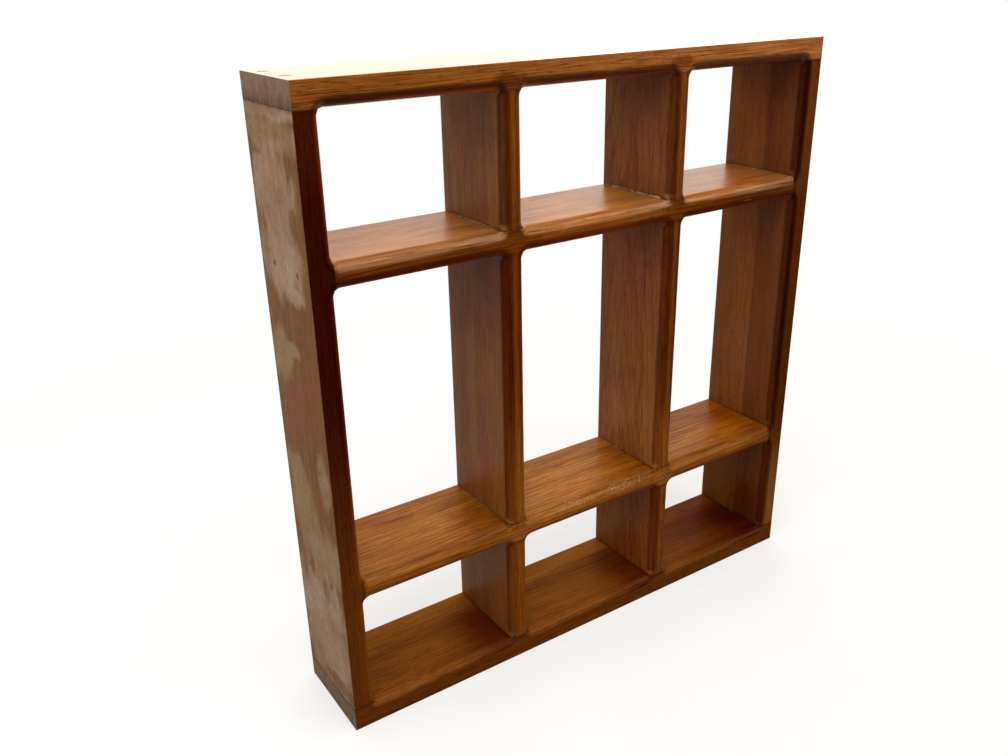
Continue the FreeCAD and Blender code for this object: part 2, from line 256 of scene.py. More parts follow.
class Skin(Graph):
    """A board's surface, on which its timber and finishes are laid one after another.

    The finishes share its sockets (the place in the unit in metres, the place in the log in
    millimetres, the masks) and change its colour, sheen, roughness and height.
    """

    def __init__(self, name: str, run: Run, log_place: Triple) -> None:
        """Start a material with the sockets that every finish reads.

        Args:
            name: The material's name.
            run: Which way the board's grain runs.
            log_place: Where in the log the board was cut, in millimetres.
        """
        self.material = blank_material(name)
        super().__init__(self.material.node_tree)
        self.place = self.add("ShaderNodeTexCoord", out="Object")
        mapping = {"Vector": self.place, "Location": log_place, "Rotation": run.grain_turn}
        self.log = self.add("ShaderNodeMapping", {**mapping, "Scale": (1 / MM,) * 3})
        self.rounding = self.add("ShaderNodeAttribute", out="Fac", attribute_name="rounding")
        self.seam = self.add("ShaderNodeAttribute", out="Fac", attribute_name="seam")
        # The masks grow with how far a face points up, right, down, forwards or along the board.
        normal = self.add("ShaderNodeTexCoord", out="Normal")
        facing = self.add("ShaderNodeSeparateXYZ", {0: normal}).node.outputs
        self.lit = self.mask(facing["Z"], 0.0, 0.3)
        self.rightward = self.mask(facing["X"], 0.05, 0.4)
        self.under = self.mask(facing["Z"], -0.4, -0.9)
        self.front = self.mask(facing["Y"], -0.75, -0.96)
        self.inside = self.mask(facing["Y"], -0.96, -0.75)
        endward = self.add("ShaderNodeMath", {0: facing["XYZ"[run.value]]}, operation="ABSOLUTE")
        self.end = self.mask(endward, 0.6, 0.9)
        sideways = self.add("ShaderNodeSeparateXYZ", {0: self.place}, out="X")
        self.outer = self.mask(sideways, LEFT + 0.6 * MM, LEFT + 0.25 * MM)
        self.colour: Socket | None = None
        self.pores: Socket | None = None
        self.height: Socket | None = None
        self.roughness: Socket | float = 0.3
        self.sheen: Socket | float = 0.0

    def mask(
        self, value: Socket, low: float, high: float, *shares: Socket | float, smooth: bool = False
    ) -> Socket:
        """Spread part of a value's range over 0 to 1, and thin it by other masks.

        Args:
            value: The value.
            low: What becomes 0.
            high: What becomes 1.
            shares: The masks and numbers that it is multiplied by.
            smooth: Whether it eases in and out.

        Returns:
            The mask.
        """
        ease = "SMOOTHSTEP" if smooth else "LINEAR"
        inputs = {"Value": value, "From Min": low, "From Max": high}
        return self.product(self.add("ShaderNodeMapRange", inputs, interpolation_type=ease), *shares)

    def product(self, *factors: Socket | float) -> Socket:
        """Multiply masks and shares.

        Args:
            factors: Sockets or plain numbers, the first one a socket.

        Returns:
            Their product.
        """
        result = factors[0]
        for factor in factors[1:]:
            result = self.add("ShaderNodeMath", {0: result, 1: factor}, operation="MULTIPLY")
        return result

    def noise(
        self,
        width_mm: float,
        length_mm: float,
        low: float,
        high: float,
        detail: float = 2.0,
        source: Socket | None = None,
    ) -> Socket:
        """Noise drawn out along the grain, as a mask.

        Args:
            width_mm: Width of a streak across the grain.
            length_mm: Length of a streak along the grain.
            low: Noise value that becomes 0.
            high: Noise value that becomes 1.
            detail: Octaves of finer noise.
            source: The place in the log, where it isn't the plain one.

        Returns:
            The mask.
        """
        steps = (1 / width_mm, 1 / width_mm, 1 / length_mm)
        scaled = self.add("ShaderNodeVectorMath", {0: source or self.log, 1: steps}, operation="MULTIPLY")
        inputs = {"Vector": scaled, "Scale": 1.0, "Detail": detail, "Roughness": 0.6}
        return self.mask(self.add("ShaderNodeTexNoise", inputs), low, high)

    def blob(self, centre: Triple, half: Triple, turn: Triple = (0.0, 0.0, 0.0)) -> Socket:
        """Height of an ellipsoid hill: 1 in its middle, 0 at its edge, below 0 outside.

        Args:
            centre: The middle, in the unit.
            half: The half axes.
            turn: The ellipsoid's turn.

        Returns:
            The height.
        """
        spot = self.add(
            "ShaderNodeMapping",
            {"Vector": self.place, "Location": centre, "Rotation": turn, "Scale": half},
            vector_type="TEXTURE",
        )
        distance = self.add("ShaderNodeVectorMath", {0: spot}, out="Value", operation="LENGTH")
        return self.add("ShaderNodeMath", {0: 1.0, 1: distance}, operation="SUBTRACT")

    def ragged(self, height: Socket, size_mm: float, amount: float, upright: float = 1.0) -> Socket:
        """Make a hill's edge uneven.

        Args:
            height: The hill.
            size_mm: Size of the unevenness.
            amount: Its strength in the hill's own units.
            upright: How many times taller than wide the unevenness is.

        Returns:
            The uneven hill.
        """
        squeeze = {0: self.place, 1: (1.0, 1.0, 1 / upright)}
        spot = self.add("ShaderNodeVectorMath", squeeze, operation="MULTIPLY")
        inputs = {"Vector": spot, "Scale": 1 / (size_mm * MM), "Detail": 4.0, "Roughness": 0.55}
        lumps = self.add("ShaderNodeTexNoise", inputs)
        lumps = self.add("ShaderNodeMath", {0: lumps, 1: 0.5}, operation="SUBTRACT")
        inputs = {0: lumps, 1: 2 * amount, 2: height}
        return self.add("ShaderNodeMath", inputs, operation="MULTIPLY_ADD")

    def lay(self, above: Socket | tuple, *masks: Socket | float) -> None:
        """Lay a colour over the skin, where and as thickly as the masks say."""
        inputs = {0: self.product(*masks), 6: self.colour, 7: above}
        self.colour = self.add("ShaderNodeMix", inputs, out=2, data_type="RGBA")

    def stain(self, factors: Socket | Triple, *masks: Socket | float) -> None:
        """Multiply the skin's colour by factors, where and as strongly as the masks say."""
        tinted = self.add("ShaderNodeVectorMath", {0: self.colour, 1: factors}, operation="MULTIPLY")
        self.lay(tinted, *masks)

    def roughen(self, mask: Socket, rise: float) -> None:
        """Roughen the surface where the mask says, by the given rise at most."""
        inputs = {0: mask, 1: rise, 2: self.roughness}
        self.roughness = self.add("ShaderNodeMath", inputs, operation="MULTIPLY_ADD")

    def dull(self, mask: Socket, share: float) -> None:
        """Take a share of the sheen away where the mask says."""
        left = self.add("ShaderNodeMath", {0: mask, 1: -share, 2: 1.0}, operation="MULTIPLY_ADD")
        self.sheen = self.product(left, self.sheen)

    def close(self) -> Material:
        """End the material in its shader.

        Returns:
            The finished material.
        """
        relief = {"Height": self.height, "Strength": 0.3, "Distance": 0.12 * MM}
        surface = {
            "Base Color": self.colour,
            "Roughness": self.roughness,
            "Normal": self.add("ShaderNodeBump", relief),
            "Specular IOR Level": self.sheen,
        }
        shader = self.add("ShaderNodeBsdfPrincipled", surface)
        self.add("ShaderNodeOutputMaterial", {"Surface": shader})
        return self.material


@dataclass(frozen=True)
class Streaks:
    """One kind of streak: its size, the noise values that bound it, its detail and its share."""

    width_mm: float
    length_mm: float
    low: float
    high: float
    detail: float
    share: float

    def draw(self, skin: Skin, source: Socket | None = None) -> Socket:
        """Draw the streaks as a mask, at the plain place in the log or at another one."""
        return skin.noise(self.width_mm, self.length_mm, self.low, self.high, self.detail, source)


# Short dark dashes, open at the surface.
PORES = Streaks(0.55, 9.0, 0.6, 0.72, 1.0, 0.68)
# Soft clouds across the grain.
MOTTLING = Streaks(16.0, 40.0, 0.3, 0.7, 2.0, 0.1)
# The long streaks that lead the eye, and stand a little proud.
STRANDS = Streaks(1.1, 180.0, 0.33, 0.67, 4.0, 0.2)
# Fine fibres, bundles of fibres, thin dark lines and broad growth bands, all along the grain.
GRAIN = (
    Streaks(0.55, 70.0, 0.3, 0.7, 2.0, 0.36),
    Streaks(0.9, 60.0, 0.3, 0.7, 2.0, 0.2),
    Streaks(0.75, 420.0, 0.66, 0.58, 1.0, 0.16),
    Streaks(22.0, 900.0, 0.36, 0.64, 1.0, 0.14),
)


@dataclass(frozen=True)
class Timber:
    """Close-grained reddish hardwood, planed and sanded.

    The eye sees fine straight brown streaks along the length, short dark pores and, on some
    boards, the thin dark lines of the year rings, which rise to a point.
    """

    dark: str = "#4f2409"
    middle: str = "#874918"
    light: str = "#b4702a"
    pore: str = "#2a1206"
    contrast: float = 1.0
    ring_mm: float = 3.4
    figure: float = 0.35
    taper: float = 0.0
    wander_mm: float = 4.0
    roughness: float = 0.33
    sheen: float = 0.045

    def grain(self, skin: Skin) -> None:
        """Lay the bare timber on a board's skin.

        Args:
            skin: The skin, which gets its first colour, its pores, height and roughness.
        """
        bent = self.bend(skin)
        strands = STRANDS.draw(skin, bent)
        parts = [(self.rings(skin, bent), 0.6 * self.figure), (strands, STRANDS.share)]
        parts.append((MOTTLING.draw(skin), MOTTLING.share))
        parts += [(kind.draw(skin, bent), kind.share) for kind in GRAIN]
        tone = 0.5 - self.contrast * (0.65 + 0.36 * self.figure)
        for part, weight in parts:
            inputs = {0: part, 1: weight * self.contrast, 2: tone}
            tone = skin.add("ShaderNodeMath", inputs, operation="MULTIPLY_ADD")
        stops = {0.12: linear(self.dark), 0.5: linear(self.middle), 0.9: linear(self.light)}
        skin.colour = skin.add("ShaderNodeValToRGB", {0: tone}, stops=stops)
        skin.pores = PORES.draw(skin)
        skin.lay(linear(self.pore), skin.pores, PORES.share)
        inputs = {0: skin.pores, 1: -1.0, 2: strands}
        skin.height = skin.add("ShaderNodeMath", inputs, operation="MULTIPLY_ADD")
        skin.roughness = self.roughness - 0.05
        skin.roughen(strands, 0.1)
        skin.sheen = self.sheen

    def bend(self, skin: Skin) -> Socket:
        """Let the grain wander from a dead straight line, by some millimetres over a board.

        Args:
            skin: The skin.

        Returns:
            The place in the log with the wander added.
        """
        inputs = {0: skin.log, 1: (1 / 60, 1 / 60, 1 / 320)}
        slow = skin.add("ShaderNodeVectorMath", inputs, operation="MULTIPLY")
        wander = skin.add("ShaderNodeTexNoise", {"Vector": slow, "Scale": 1.0, "Detail": 2.0}, out=1)
        swing = 4 * self.wander_mm
        inputs = {0: wander, 1: (swing, swing, 0.0), 2: (-swing / 2, -swing / 2, 0.0)}
        wander = skin.add("ShaderNodeVectorMath", inputs, operation="MULTIPLY_ADD")
        return skin.add("ShaderNodeVectorMath", {0: skin.log, 1: wander}, operation="ADD")

    def rings(self, skin: Skin, bent: Socket) -> Socket:
        """Draw the year rings: even early wood, then a thin dark line of late wood.

        Args:
            skin: The skin.
            bent: The place in the log with the wander added.

        Returns:
            The tone, from 0 in the dark line to 0.75.
        """
        across = skin.add("ShaderNodeVectorMath", {0: bent, 1: (1.0, 1.0, 0.0)}, operation="MULTIPLY")
        radius = skin.add("ShaderNodeVectorMath", {0: across}, out="Value", operation="LENGTH")
        along = skin.add("ShaderNodeSeparateXYZ", {0: bent}, out="Z")
        inputs = {0: along, 1: self.taper, 2: radius}
        radius = skin.add("ShaderNodeMath", inputs, operation="MULTIPLY_ADD")
        uneven = skin.product(skin.noise(9.0, 400.0, 0.0, 1.0, 1.0, bent), 1.6)
        inputs = {0: radius, 1: 1 / self.ring_mm, 2: uneven}
        year = skin.add("ShaderNodeMath", inputs, operation="MULTIPLY_ADD")
        year = skin.add("ShaderNodeMath", {0: year}, operation="FRACT")
        greys = {0.0: 0.75, 0.62: 0.6, 0.86: 0.0, 1.0: 0.7}
        stops = {place: (grey, grey, grey, 1.0) for place, grey in greys.items()}
        return skin.add("ShaderNodeValToRGB", {0: year}, stops=stops)


class Zone(Enum):
    """The part of a board that a stain or painted light or shade reaches, named as the skin's mask of it.
    """

    ALL = "all"
    FRONT = "front"
    INSIDE = "inside"
    ROUNDING = "rounding"
    UNDER = "under"

    def mask(self, skin: Skin) -> Socket | float:
        """Find this part's mask among the skin's own: 1 on the part, 0 elsewhere."""
        return 1.0 if self is Zone.ALL else getattr(skin, self.value)


class Finish(ABC):
    """Something that is laid on a board after its bare timber."""

    @abstractmethod
    def apply(self, skin: Skin) -> None:
        """Change a skin's colour, sheen, roughness or height."""


@dataclass(frozen=True)
class EndGrain(Finish):
    """Sawn end grain, which drinks the oil and so looks darker and duller."""

    tint: Triple = (0.5, 0.48, 0.46)
    dulls: float = 0.97
    roughens: float = 0.25

    def apply(self, skin: Skin) -> None:
        """Darken and dull the ends.

        Args:
            skin: The skin.
        """
        skin.stain(self.tint, skin.end)
        skin.roughen(skin.end, self.roughens)
        skin.dull(skin.end, self.dulls)


@dataclass(frozen=True)
class OilAndPaintedLight(Finish):
    """Oil rubbed in by hand, which leaves the fronts and the roundings that face left or down dull,
    mirroring nothing. Painted shade darkens those roundings and a line along their ridge, the
    fronts are made lighter or darker board by board by painted light, and a painted highlight
    lightens the roundings that face up."""

    # Colour factors of painted light: shade on the roundings that face left or down, a lighter or darker
    # front, a highlight on the roundings that face up, and shade along the ridge.
    rounds: Triple = (0.57, 0.44, 0.34)
    fronts: Triple = (1.0, 1.0, 1.0)
    crests: Triple = (1.0, 1.0, 1.0)
    ridge: Triple = (0.55, 0.46, 0.4)
    dulls: float = 0.95
    roughens: float = 0.25

    def apply(self, skin: Skin) -> None:
        """Paint shade, light and highlights on the roundings and fronts, and take the sheen off the fronts
        and the shaded roundings.

        Args:
            skin: The skin.
        """
        bright = skin.add("ShaderNodeMath", {0: skin.lit, 1: skin.rightward}, operation="MAXIMUM")
        unlit = skin.add("ShaderNodeMath", {0: 1.0, 1: bright}, operation="SUBTRACT")
        shaded = skin.product(unlit, skin.rounding)
        # Painted shade on the turned-away roundings, painted light on the fronts and a painted highlight on
        # the upward roundings.
        skin.stain(self.rounds, shaded)
        skin.stain(self.fronts, skin.front)
        skin.stain(self.crests, skin.lit, skin.rounding)
        # The ridge, where the rounding runs out into the board's side, gets a line of painted shade.
        ridge = skin.mask(skin.rounding, 0.8, 0.35, skin.mask(skin.rounding, 0.0, 0.2))
        skin.stain(self.ridge, ridge, unlit, skin.inside)
        soaked = skin.add("ShaderNodeMath", {0: shaded, 1: skin.front}, operation="MAXIMUM")
        skin.dull(soaked, self.dulls)
        skin.roughen(soaked, self.roughens)


@dataclass(frozen=True)
class RubAndPaintedHighlight(Finish):
    """Pale broken streaks on the upper roundings: partly wear where hands have rubbed the finish off,
    partly a painted highlight.
    """

    strength: float = 0.3
    colour: str = "#d59a60"

    def apply(self, skin: Skin) -> None:
        """Lay the worn streaks and the painted highlight on the roundings that face up."""
        broken = skin.noise(2.6, 60.0, 0.36, 0.76)
        # Pale streaks, partly wear and partly painted highlight, only where the rounding faces up.
        skin.lay(linear(self.colour), skin.rounding, broken, skin.lit, self.strength)


@dataclass(frozen=True)
class Pits(Finish):
    """Small torn-out spots of about a millimetre and a half, in loose groups on the rounding."""

    strength: float
    begin: float
    until: float
    colour: str
    fade_in: float = 60 * MM
    fade_out: float = 40 * MM
    sink: float = 3.0

    def apply(self, skin: Skin) -> None:
        """Lay the spots on the roundings that face up, and sink them.

        Args:
            skin: The skin.
        """
        across = skin.add("ShaderNodeSeparateXYZ", {0: skin.place}, out="X")
        holes = skin.noise(1.1, 1.7, 0.58, 0.66, 1.0)
        groups = skin.noise(22.0, 30.0, 0.4, 0.55, 1.0)
        stretch = skin.mask(across, self.until + self.fade_out, self.until, skin.rounding)
        spots = skin.mask(across, self.begin, self.begin + self.fade_in, holes, groups, stretch)
        skin.lay(linear(self.colour), spots, skin.lit, self.strength)
        inputs = {0: spots, 1: -self.sink, 2: skin.height}
        skin.height = skin.add("ShaderNodeMath", inputs, operation="MULTIPLY_ADD")


@dataclass(frozen=True)
class SeamDirtAndShade(Finish):
    """The thin dark joint line; beside it, in the inner corners, a darkening that is partly grime
    and partly painted shade; and grime specks where it meets the rounding.
    """

    colour: str = "#1c0c05"
    strength: float = 0.8
    line_mm: float = 0.7
    pool_mm: float = 4.5
    corner_mm: float = 5.0

    def apply(self, skin: Skin) -> None:
        """Draw the joint lines and lay the grime and the painted shade.

        Args:
            skin: The skin.
        """
        reach = SEAM_REACH / MM
        away = skin.add("ShaderNodeMath", {0: skin.seam, 1: -reach, 2: reach}, operation="MULTIPLY_ADD")
        uneven = skin.noise(7.0, 7.0, 0.3, 0.62, 3.0)
        broken = skin.add("ShaderNodeMath", {0: uneven, 1: 0.5, 2: 0.35}, operation="MULTIPLY_ADD")
        line = skin.mask(away, self.line_mm, 0.2, broken)
        # Darkening beside the joint, in the inner corners: partly grime, partly painted shade.
        pool = skin.mask(away, self.pool_mm, 0.0)
        pool = skin.product(skin.add("ShaderNodeMath", {0: pool, 1: 1.7}, operation="POWER"), uneven, 0.75)
        specks = skin.noise(2.4, 3.0, 0.47, 0.6)
        corner = skin.mask(away, self.corner_mm, 1.0, skin.rounding, specks, 0.9)
        dirt_and_shade = skin.add("ShaderNodeMath", {0: line, 1: pool}, operation="MAXIMUM")
        dirt_and_shade = skin.add("ShaderNodeMath", {0: dirt_and_shade, 1: corner}, operation="MAXIMUM")
        skin.lay(linear(self.colour), dirt_and_shade, self.strength)


@dataclass(frozen=True)
class Patch:
    """One patch of a film on the left outer side, in millimetres from the back and the base."""

    back: float
    up: float
    half_depth: float
    half_height: float


@dataclass(frozen=True)
class WaxFilm(Finish):
    """A dried film of wax and dust, wiped on unevenly, which turns the wood pale and matte."""

    laid: tuple[Patch, ...]
    wiped: tuple[Patch, ...] = ()
    colour: str = "#bea38d"
    strength: float = 0.76
    least: float = 0.08
    cloud_mm: float = 45.0
    edge_mm: float = 13.0
    edge_amount: float = 0.62
    edge_upright: float = 2.6
    wiped_share: float = 0.68
    pore_share: float = 0.6
    roughens: float = 0.3

    def hills(self, skin: Skin, patches: tuple[Patch, ...]) -> Socket:
        """Join patches to one mask.

        Args:
            skin: The skin.
            patches: The patches.

        Returns:
            1 inside a patch, 0 outside, with an uneven edge.
        """
        tallest = None
        for patch in patches:
            centre = (LEFT, BACK - patch.back * MM, patch.up * MM)
            hill = skin.blob(centre, (1.0, patch.half_depth * MM, patch.half_height * MM))
            if tallest is not None:
                hill = skin.add("ShaderNodeMath", {0: tallest, 1: hill}, operation="MAXIMUM")
            tallest = hill
        uneven = skin.ragged(tallest, self.edge_mm, self.edge_amount, self.edge_upright)
        return skin.mask(uneven, -0.16, 0.26)

    def apply(self, skin: Skin) -> None:
        """Lay the film on the outer left face.

        Args:
            skin: The skin.
        """
        film = self.hills(skin, self.laid)
        if self.wiped:
            inputs = {0: self.hills(skin, self.wiped), 1: -self.wiped_share, 2: 1.0}
            film = skin.product(film, skin.add("ShaderNodeMath", inputs, operation="MULTIPLY_ADD"))
        inputs = {"Vector": skin.place, "Scale": 1 / (self.cloud_mm * MM), "Detail": 6.0, "Roughness": 0.65}
        film = skin.mask(skin.add("ShaderNodeTexNoise", inputs), 0.12, 0.7, film)
        film = skin.add("ShaderNodeMath", {0: film, 1: self.least}, operation="MAXIMUM")
        inputs = {0: skin.pores, 1: -self.pore_share, 2: 1.0}
        open_pores = skin.add("ShaderNodeMath", inputs, operation="MULTIPLY_ADD")
        film = skin.product(film, skin.outer, open_pores)
        skin.lay(linear(self.colour), film, self.strength)
        skin.roughen(film, self.roughens)


@dataclass(frozen=True)
class Grit(Finish):
    """Dust and raised fibres on the outer left face, which was never polished, as fine specks."""

    factors: Triple = (0.85, 0.84, 0.83)

    def apply(self, skin: Skin) -> None:
        """Speckle the face."""
        skin.stain(self.factors, skin.noise(0.9, 4.0, 0.42, 0.66, 1.0), skin.outer)


@dataclass(frozen=True)
class ToneShift(Finish):
    """A change of tone over a board, such as heartwood beside paler wood, or two glued strips; on
    some boards it paints light or shade instead, such as a darker right end or a lighter back.
    """

    start: Triple
    end: Triple
    factors: Triple
    wander: float = 0.0
    zone: Zone = Zone.ALL

    def apply(self, skin: Skin) -> None:
        """Change the colour little by little from one plane to another.

        Args:
            skin: The skin.
        """
        span = Vector(self.end) - Vector(self.start)
        offset = skin.add("ShaderNodeVectorMath", {0: skin.place, 1: self.start}, operation="SUBTRACT")
        inputs = {0: offset, 1: tuple(span / span.length_squared)}
        along = skin.add("ShaderNodeVectorMath", inputs, out="Value", operation="DOT_PRODUCT")
        wander = skin.noise(30.0, 160.0, 0.0, 1.0)
        wander = skin.add("ShaderNodeMath", {0: wander, 1: 0.5}, operation="SUBTRACT")
        inputs = {0: wander, 1: self.wander, 2: along}
        along = skin.add("ShaderNodeMath", inputs, operation="MULTIPLY_ADD")
        skin.stain(self.factors, skin.mask(along, 0.0, 1.0, smooth=True), self.zone.mask(skin))


@dataclass(frozen=True)
class HeightStainAndShade(Finish):
    """Painted light and shade, and in places a plain change of tone, on one zone of an upright
    board, changing from one height to another.
    """

    low: Triple
    high: Triple
    low_at: float
    high_at: float
    zone: Zone = Zone.FRONT

    def apply(self, skin: Skin) -> None:
        """Change the colour of the board's zone, by painted light and shade.

        Args:
            skin: The skin.
        """
        height = skin.add("ShaderNodeSeparateXYZ", {0: skin.place}, out="Z")
        rise = skin.mask(height, self.low_at, self.high_at, smooth=True)
        inputs = {0: rise, 4: self.low, 5: self.high}
        factors = skin.add("ShaderNodeMix", inputs, out=1, data_type="VECTOR")
        skin.stain(factors, self.zone.mask(skin))


@dataclass(frozen=True)
class SmudgeAndPaintedLight(Finish):
    """A soft patch of about a finger's size or more: a stain or worn place on some boards, painted light or
    shade on others.
    """

    centre: Triple
    half: Triple
    factors: Triple
    edge_mm: float = 9.0
    edge_amount: float = 0.45

    def apply(self, skin: Skin) -> None:
        """Change the colour inside the patch."""
        hill = skin.ragged(skin.blob(self.centre, self.half), self.edge_mm, self.edge_amount)
        skin.stain(self.factors, skin.mask(hill, 0.0, 0.5, smooth=True))


@dataclass(frozen=True)
class BayShade(Finish):
    """Painted shade on a board's top, darker toward the right end of each compartment and toward the front.
    """

    bays: Spans
    reach: float
    factors: Triple

    def apply(self, skin: Skin) -> None:
        """Paint the shade at the right end of each compartment.

        Args:
            skin: The skin.
        """
        split = skin.add("ShaderNodeSeparateXYZ", {0: skin.place}).node.outputs
        fore = skin.mask(split["Y"], 54 * MM, -10 * MM, skin.lit, smooth=True)
        for _, end in self.bays:
            ends = skin.mask(split["X"], end + 6 * MM, end + 2 * MM)
            nearer = skin.mask(split["X"], end - self.reach, end - 12 * MM, ends, fore, smooth=True)
            skin.stain(self.factors, nearer)


@dataclass(frozen=True)
class Scratch(Finish):
    """A short pale scratch through the finish."""

    start: Triple
    end: Triple
    half_width: float = 0.7 * MM
    colour: str = "#d6b08a"
    strength: float = 0.85
    edge_mm: float = 2.5
    edge_amount: float = 0.45

    def apply(self, skin: Skin) -> None:
        """Draw the scratch.

        Args:
            skin: The skin.
        """
        middle = (Vector(self.start) + Vector(self.end)) / 2
        span = Vector(self.end) - Vector(self.start)
        half = (span.length / 2, self.half_width, self.half_width)
        turn = tuple(span.to_track_quat("X", "Z").to_euler())
        hill = skin.ragged(skin.blob(tuple(middle), half, turn), self.edge_mm, self.edge_amount)
        skin.lay(linear(self.colour), skin.mask(hill, -0.05, 0.2), self.strength)


class Shaper(Graph):
    """A Geometry Nodes tree with named inputs, which ends in real geometry with its material."""

    def __init__(self, name: str, sockets: dict[str, str]) -> None:
        """Start the tree.

        Args:
            name: The tree's name.
            sockets: Socket type of each input, by its name.
        """
        super().__init__(bpy.data.node_groups.new(name, "GeometryNodeTree"))
        panel = self.tree.interface
        panel.new_socket("Geometry", in_out="INPUT", socket_type="NodeSocketGeometry")
        for label, kind in sockets.items():
            panel.new_socket(label, in_out="INPUT", socket_type=kind)
        panel.new_socket("Geometry", in_out="OUTPUT", socket_type="NodeSocketGeometry")
        source = self.tree.nodes.new("NodeGroupInput")
        self.given = {socket.name: socket for socket in source.outputs if socket.name}

    def close(self, geometry: Socket, material: Socket) -> None:
        """End the tree in Realize Instances and Set Material.

        Args:
            geometry: What the tree has made.
            material: The material it is given.
        """
        real = self.add("GeometryNodeRealizeInstances", {0: geometry})
        dressed = self.add("GeometryNodeSetMaterial", {"Geometry": real, "Material": material})
        end = self.tree.nodes.new("NodeGroupOutput")
        self.tree.links.new(dressed, end.inputs[0])

    def grow(self, name: str, points: list, edges: list, values: dict) -> Piece:
        """Run the tree on points or edges and keep what it makes as a plain mesh.

        Args:
            name: The new object's name.
            points: The points.
            edges: The edges between them.
            values: The tree's inputs by name.

        Returns:
            The finished object.
        """
        mesh = bpy.data.meshes.new(name)
        mesh.from_pydata(points, edges, [])
        piece = stand(name, mesh)
        modifier = piece.modifiers.new(self.tree.name, "NODES")
        modifier.node_group = self.tree
        for item in self.tree.interface.items_tree:
            if item.item_type == "SOCKET" and item.in_out == "INPUT" and item.name in values:
                modifier[item.identifier] = values[item.name]
        bake_modifiers(piece)
        return piece


class DowelShaper(Shaper):
    """Turns a fluted, bevelled dowel on every point of its input."""

    FLUTES = 16
    LEAST_BAND = 0.2 * MM

    def __init__(self) -> None:
        """Build the tree."""
        sizes = ("Diameter", "Length", "Low Bevel", "High Bevel", "Flute Depth")
        sockets = dict.fromkeys(sizes, "NodeSocketFloat")
        sockets |= {"Turn": "NodeSocketVector", "Wood": "NodeSocketMaterial"}
        super().__init__("turned dowels", sockets)
        given = self.given
        radius = self.add("ShaderNodeMath", {0: given["Diameter"], 1: 0.5}, operation="MULTIPLY")
        inputs = {"Vertices": 4 * self.FLUTES, "Side Segments": 3, "Radius": radius}
        inputs["Depth"] = given["Length"]
        rod = self.add("GeometryNodeMeshCylinder", inputs, out="Mesh")
        spot = self.add("GeometryNodeInputPosition")
        split = self.add("ShaderNodeSeparateXYZ", {0: spot}).node.outputs
        height, width = self.profile(split["Z"], radius)
        angle = self.add("ShaderNodeMath", {0: split["Y"], 1: split["X"]}, operation="ARCTAN2")
        wave = self.add("ShaderNodeMath", {0: angle, 1: float(self.FLUTES)}, operation="MULTIPLY")
        wave = self.add("ShaderNodeMath", {0: wave}, operation="COSINE")
        wave = self.add("ShaderNodeMath", {0: wave, 1: 0.5, 2: 0.5}, operation="MULTIPLY_ADD")
        groove = self.add("ShaderNodeMath", {0: given["Flute Depth"], 1: radius}, operation="DIVIDE")
        groove = self.add("ShaderNodeMath", {0: groove, 1: wave}, operation="MULTIPLY")
        groove = self.add("ShaderNodeMath", {0: 1.0, 1: groove}, operation="SUBTRACT")
        width = self.add("ShaderNodeMath", {0: width, 1: groove}, operation="MULTIPLY")
        across = self.add("ShaderNodeMath", {0: split["X"], 1: width}, operation="MULTIPLY")
        deep = self.add("ShaderNodeMath", {0: split["Y"], 1: width}, operation="MULTIPLY")
        shaped = self.add("ShaderNodeCombineXYZ", {"X": across, "Y": deep, "Z": height})
        rod = self.add("GeometryNodeSetPosition", {"Geometry": rod, "Position": shaped})
        turn = self.add("FunctionNodeEulerToRotation", {0: given["Turn"]})
        inputs = {"Points": given["Geometry"], "Instance": rod, "Rotation": turn}
        self.close(self.add("GeometryNodeInstanceOnPoints", inputs), given["Wood"])

    def profile(self, along: Socket, radius: Socket) -> tuple[Socket, Socket]:
        """Move the rod's four rings of points to the ends and the edges of the bevels.

        Args:
            along: A point's place along the raw rod, from minus to plus half its length.
            radius: The dowel's radius.

        Returns:
            The point's new height over the low end, and how much narrower the rod is there.
        """
        length = self.given["Length"]
        level = self.add("ShaderNodeMath", {0: along, 1: length}, operation="DIVIDE")
        bands, shrinks = [], []
        for label in ("Low Bevel", "High Bevel"):
            bevel = self.given[label]
            bands.append(self.add("ShaderNodeMath", {0: bevel, 1: self.LEAST_BAND}, operation="MAXIMUM"))
            shrink = self.add("ShaderNodeMath", {0: bevel, 1: radius}, operation="DIVIDE")
            shrinks.append(self.add("ShaderNodeMath", {0: 1.0, 1: shrink}, operation="SUBTRACT"))
        top = self.add("ShaderNodeMath", {0: length, 1: bands[1]}, operation="SUBTRACT")
        height, width = 0.0, shrinks[0]
        steps = ((-0.3, bands[0], 1.0), (0.0, top, 1.0), (0.3, length, shrinks[1]))
        for limit, next_height, next_width in steps:
            above = self.add("FunctionNodeCompare", {0: level, 1: limit}, operation="GREATER_THAN")
            inputs = {0: above, 1: height, 2: next_height}
            height = self.add("GeometryNodeSwitch", inputs, input_type="FLOAT")
            inputs = {0: above, 1: width, 2: next_width}
            width = self.add("GeometryNodeSwitch", inputs, input_type="FLOAT")
        return height, width


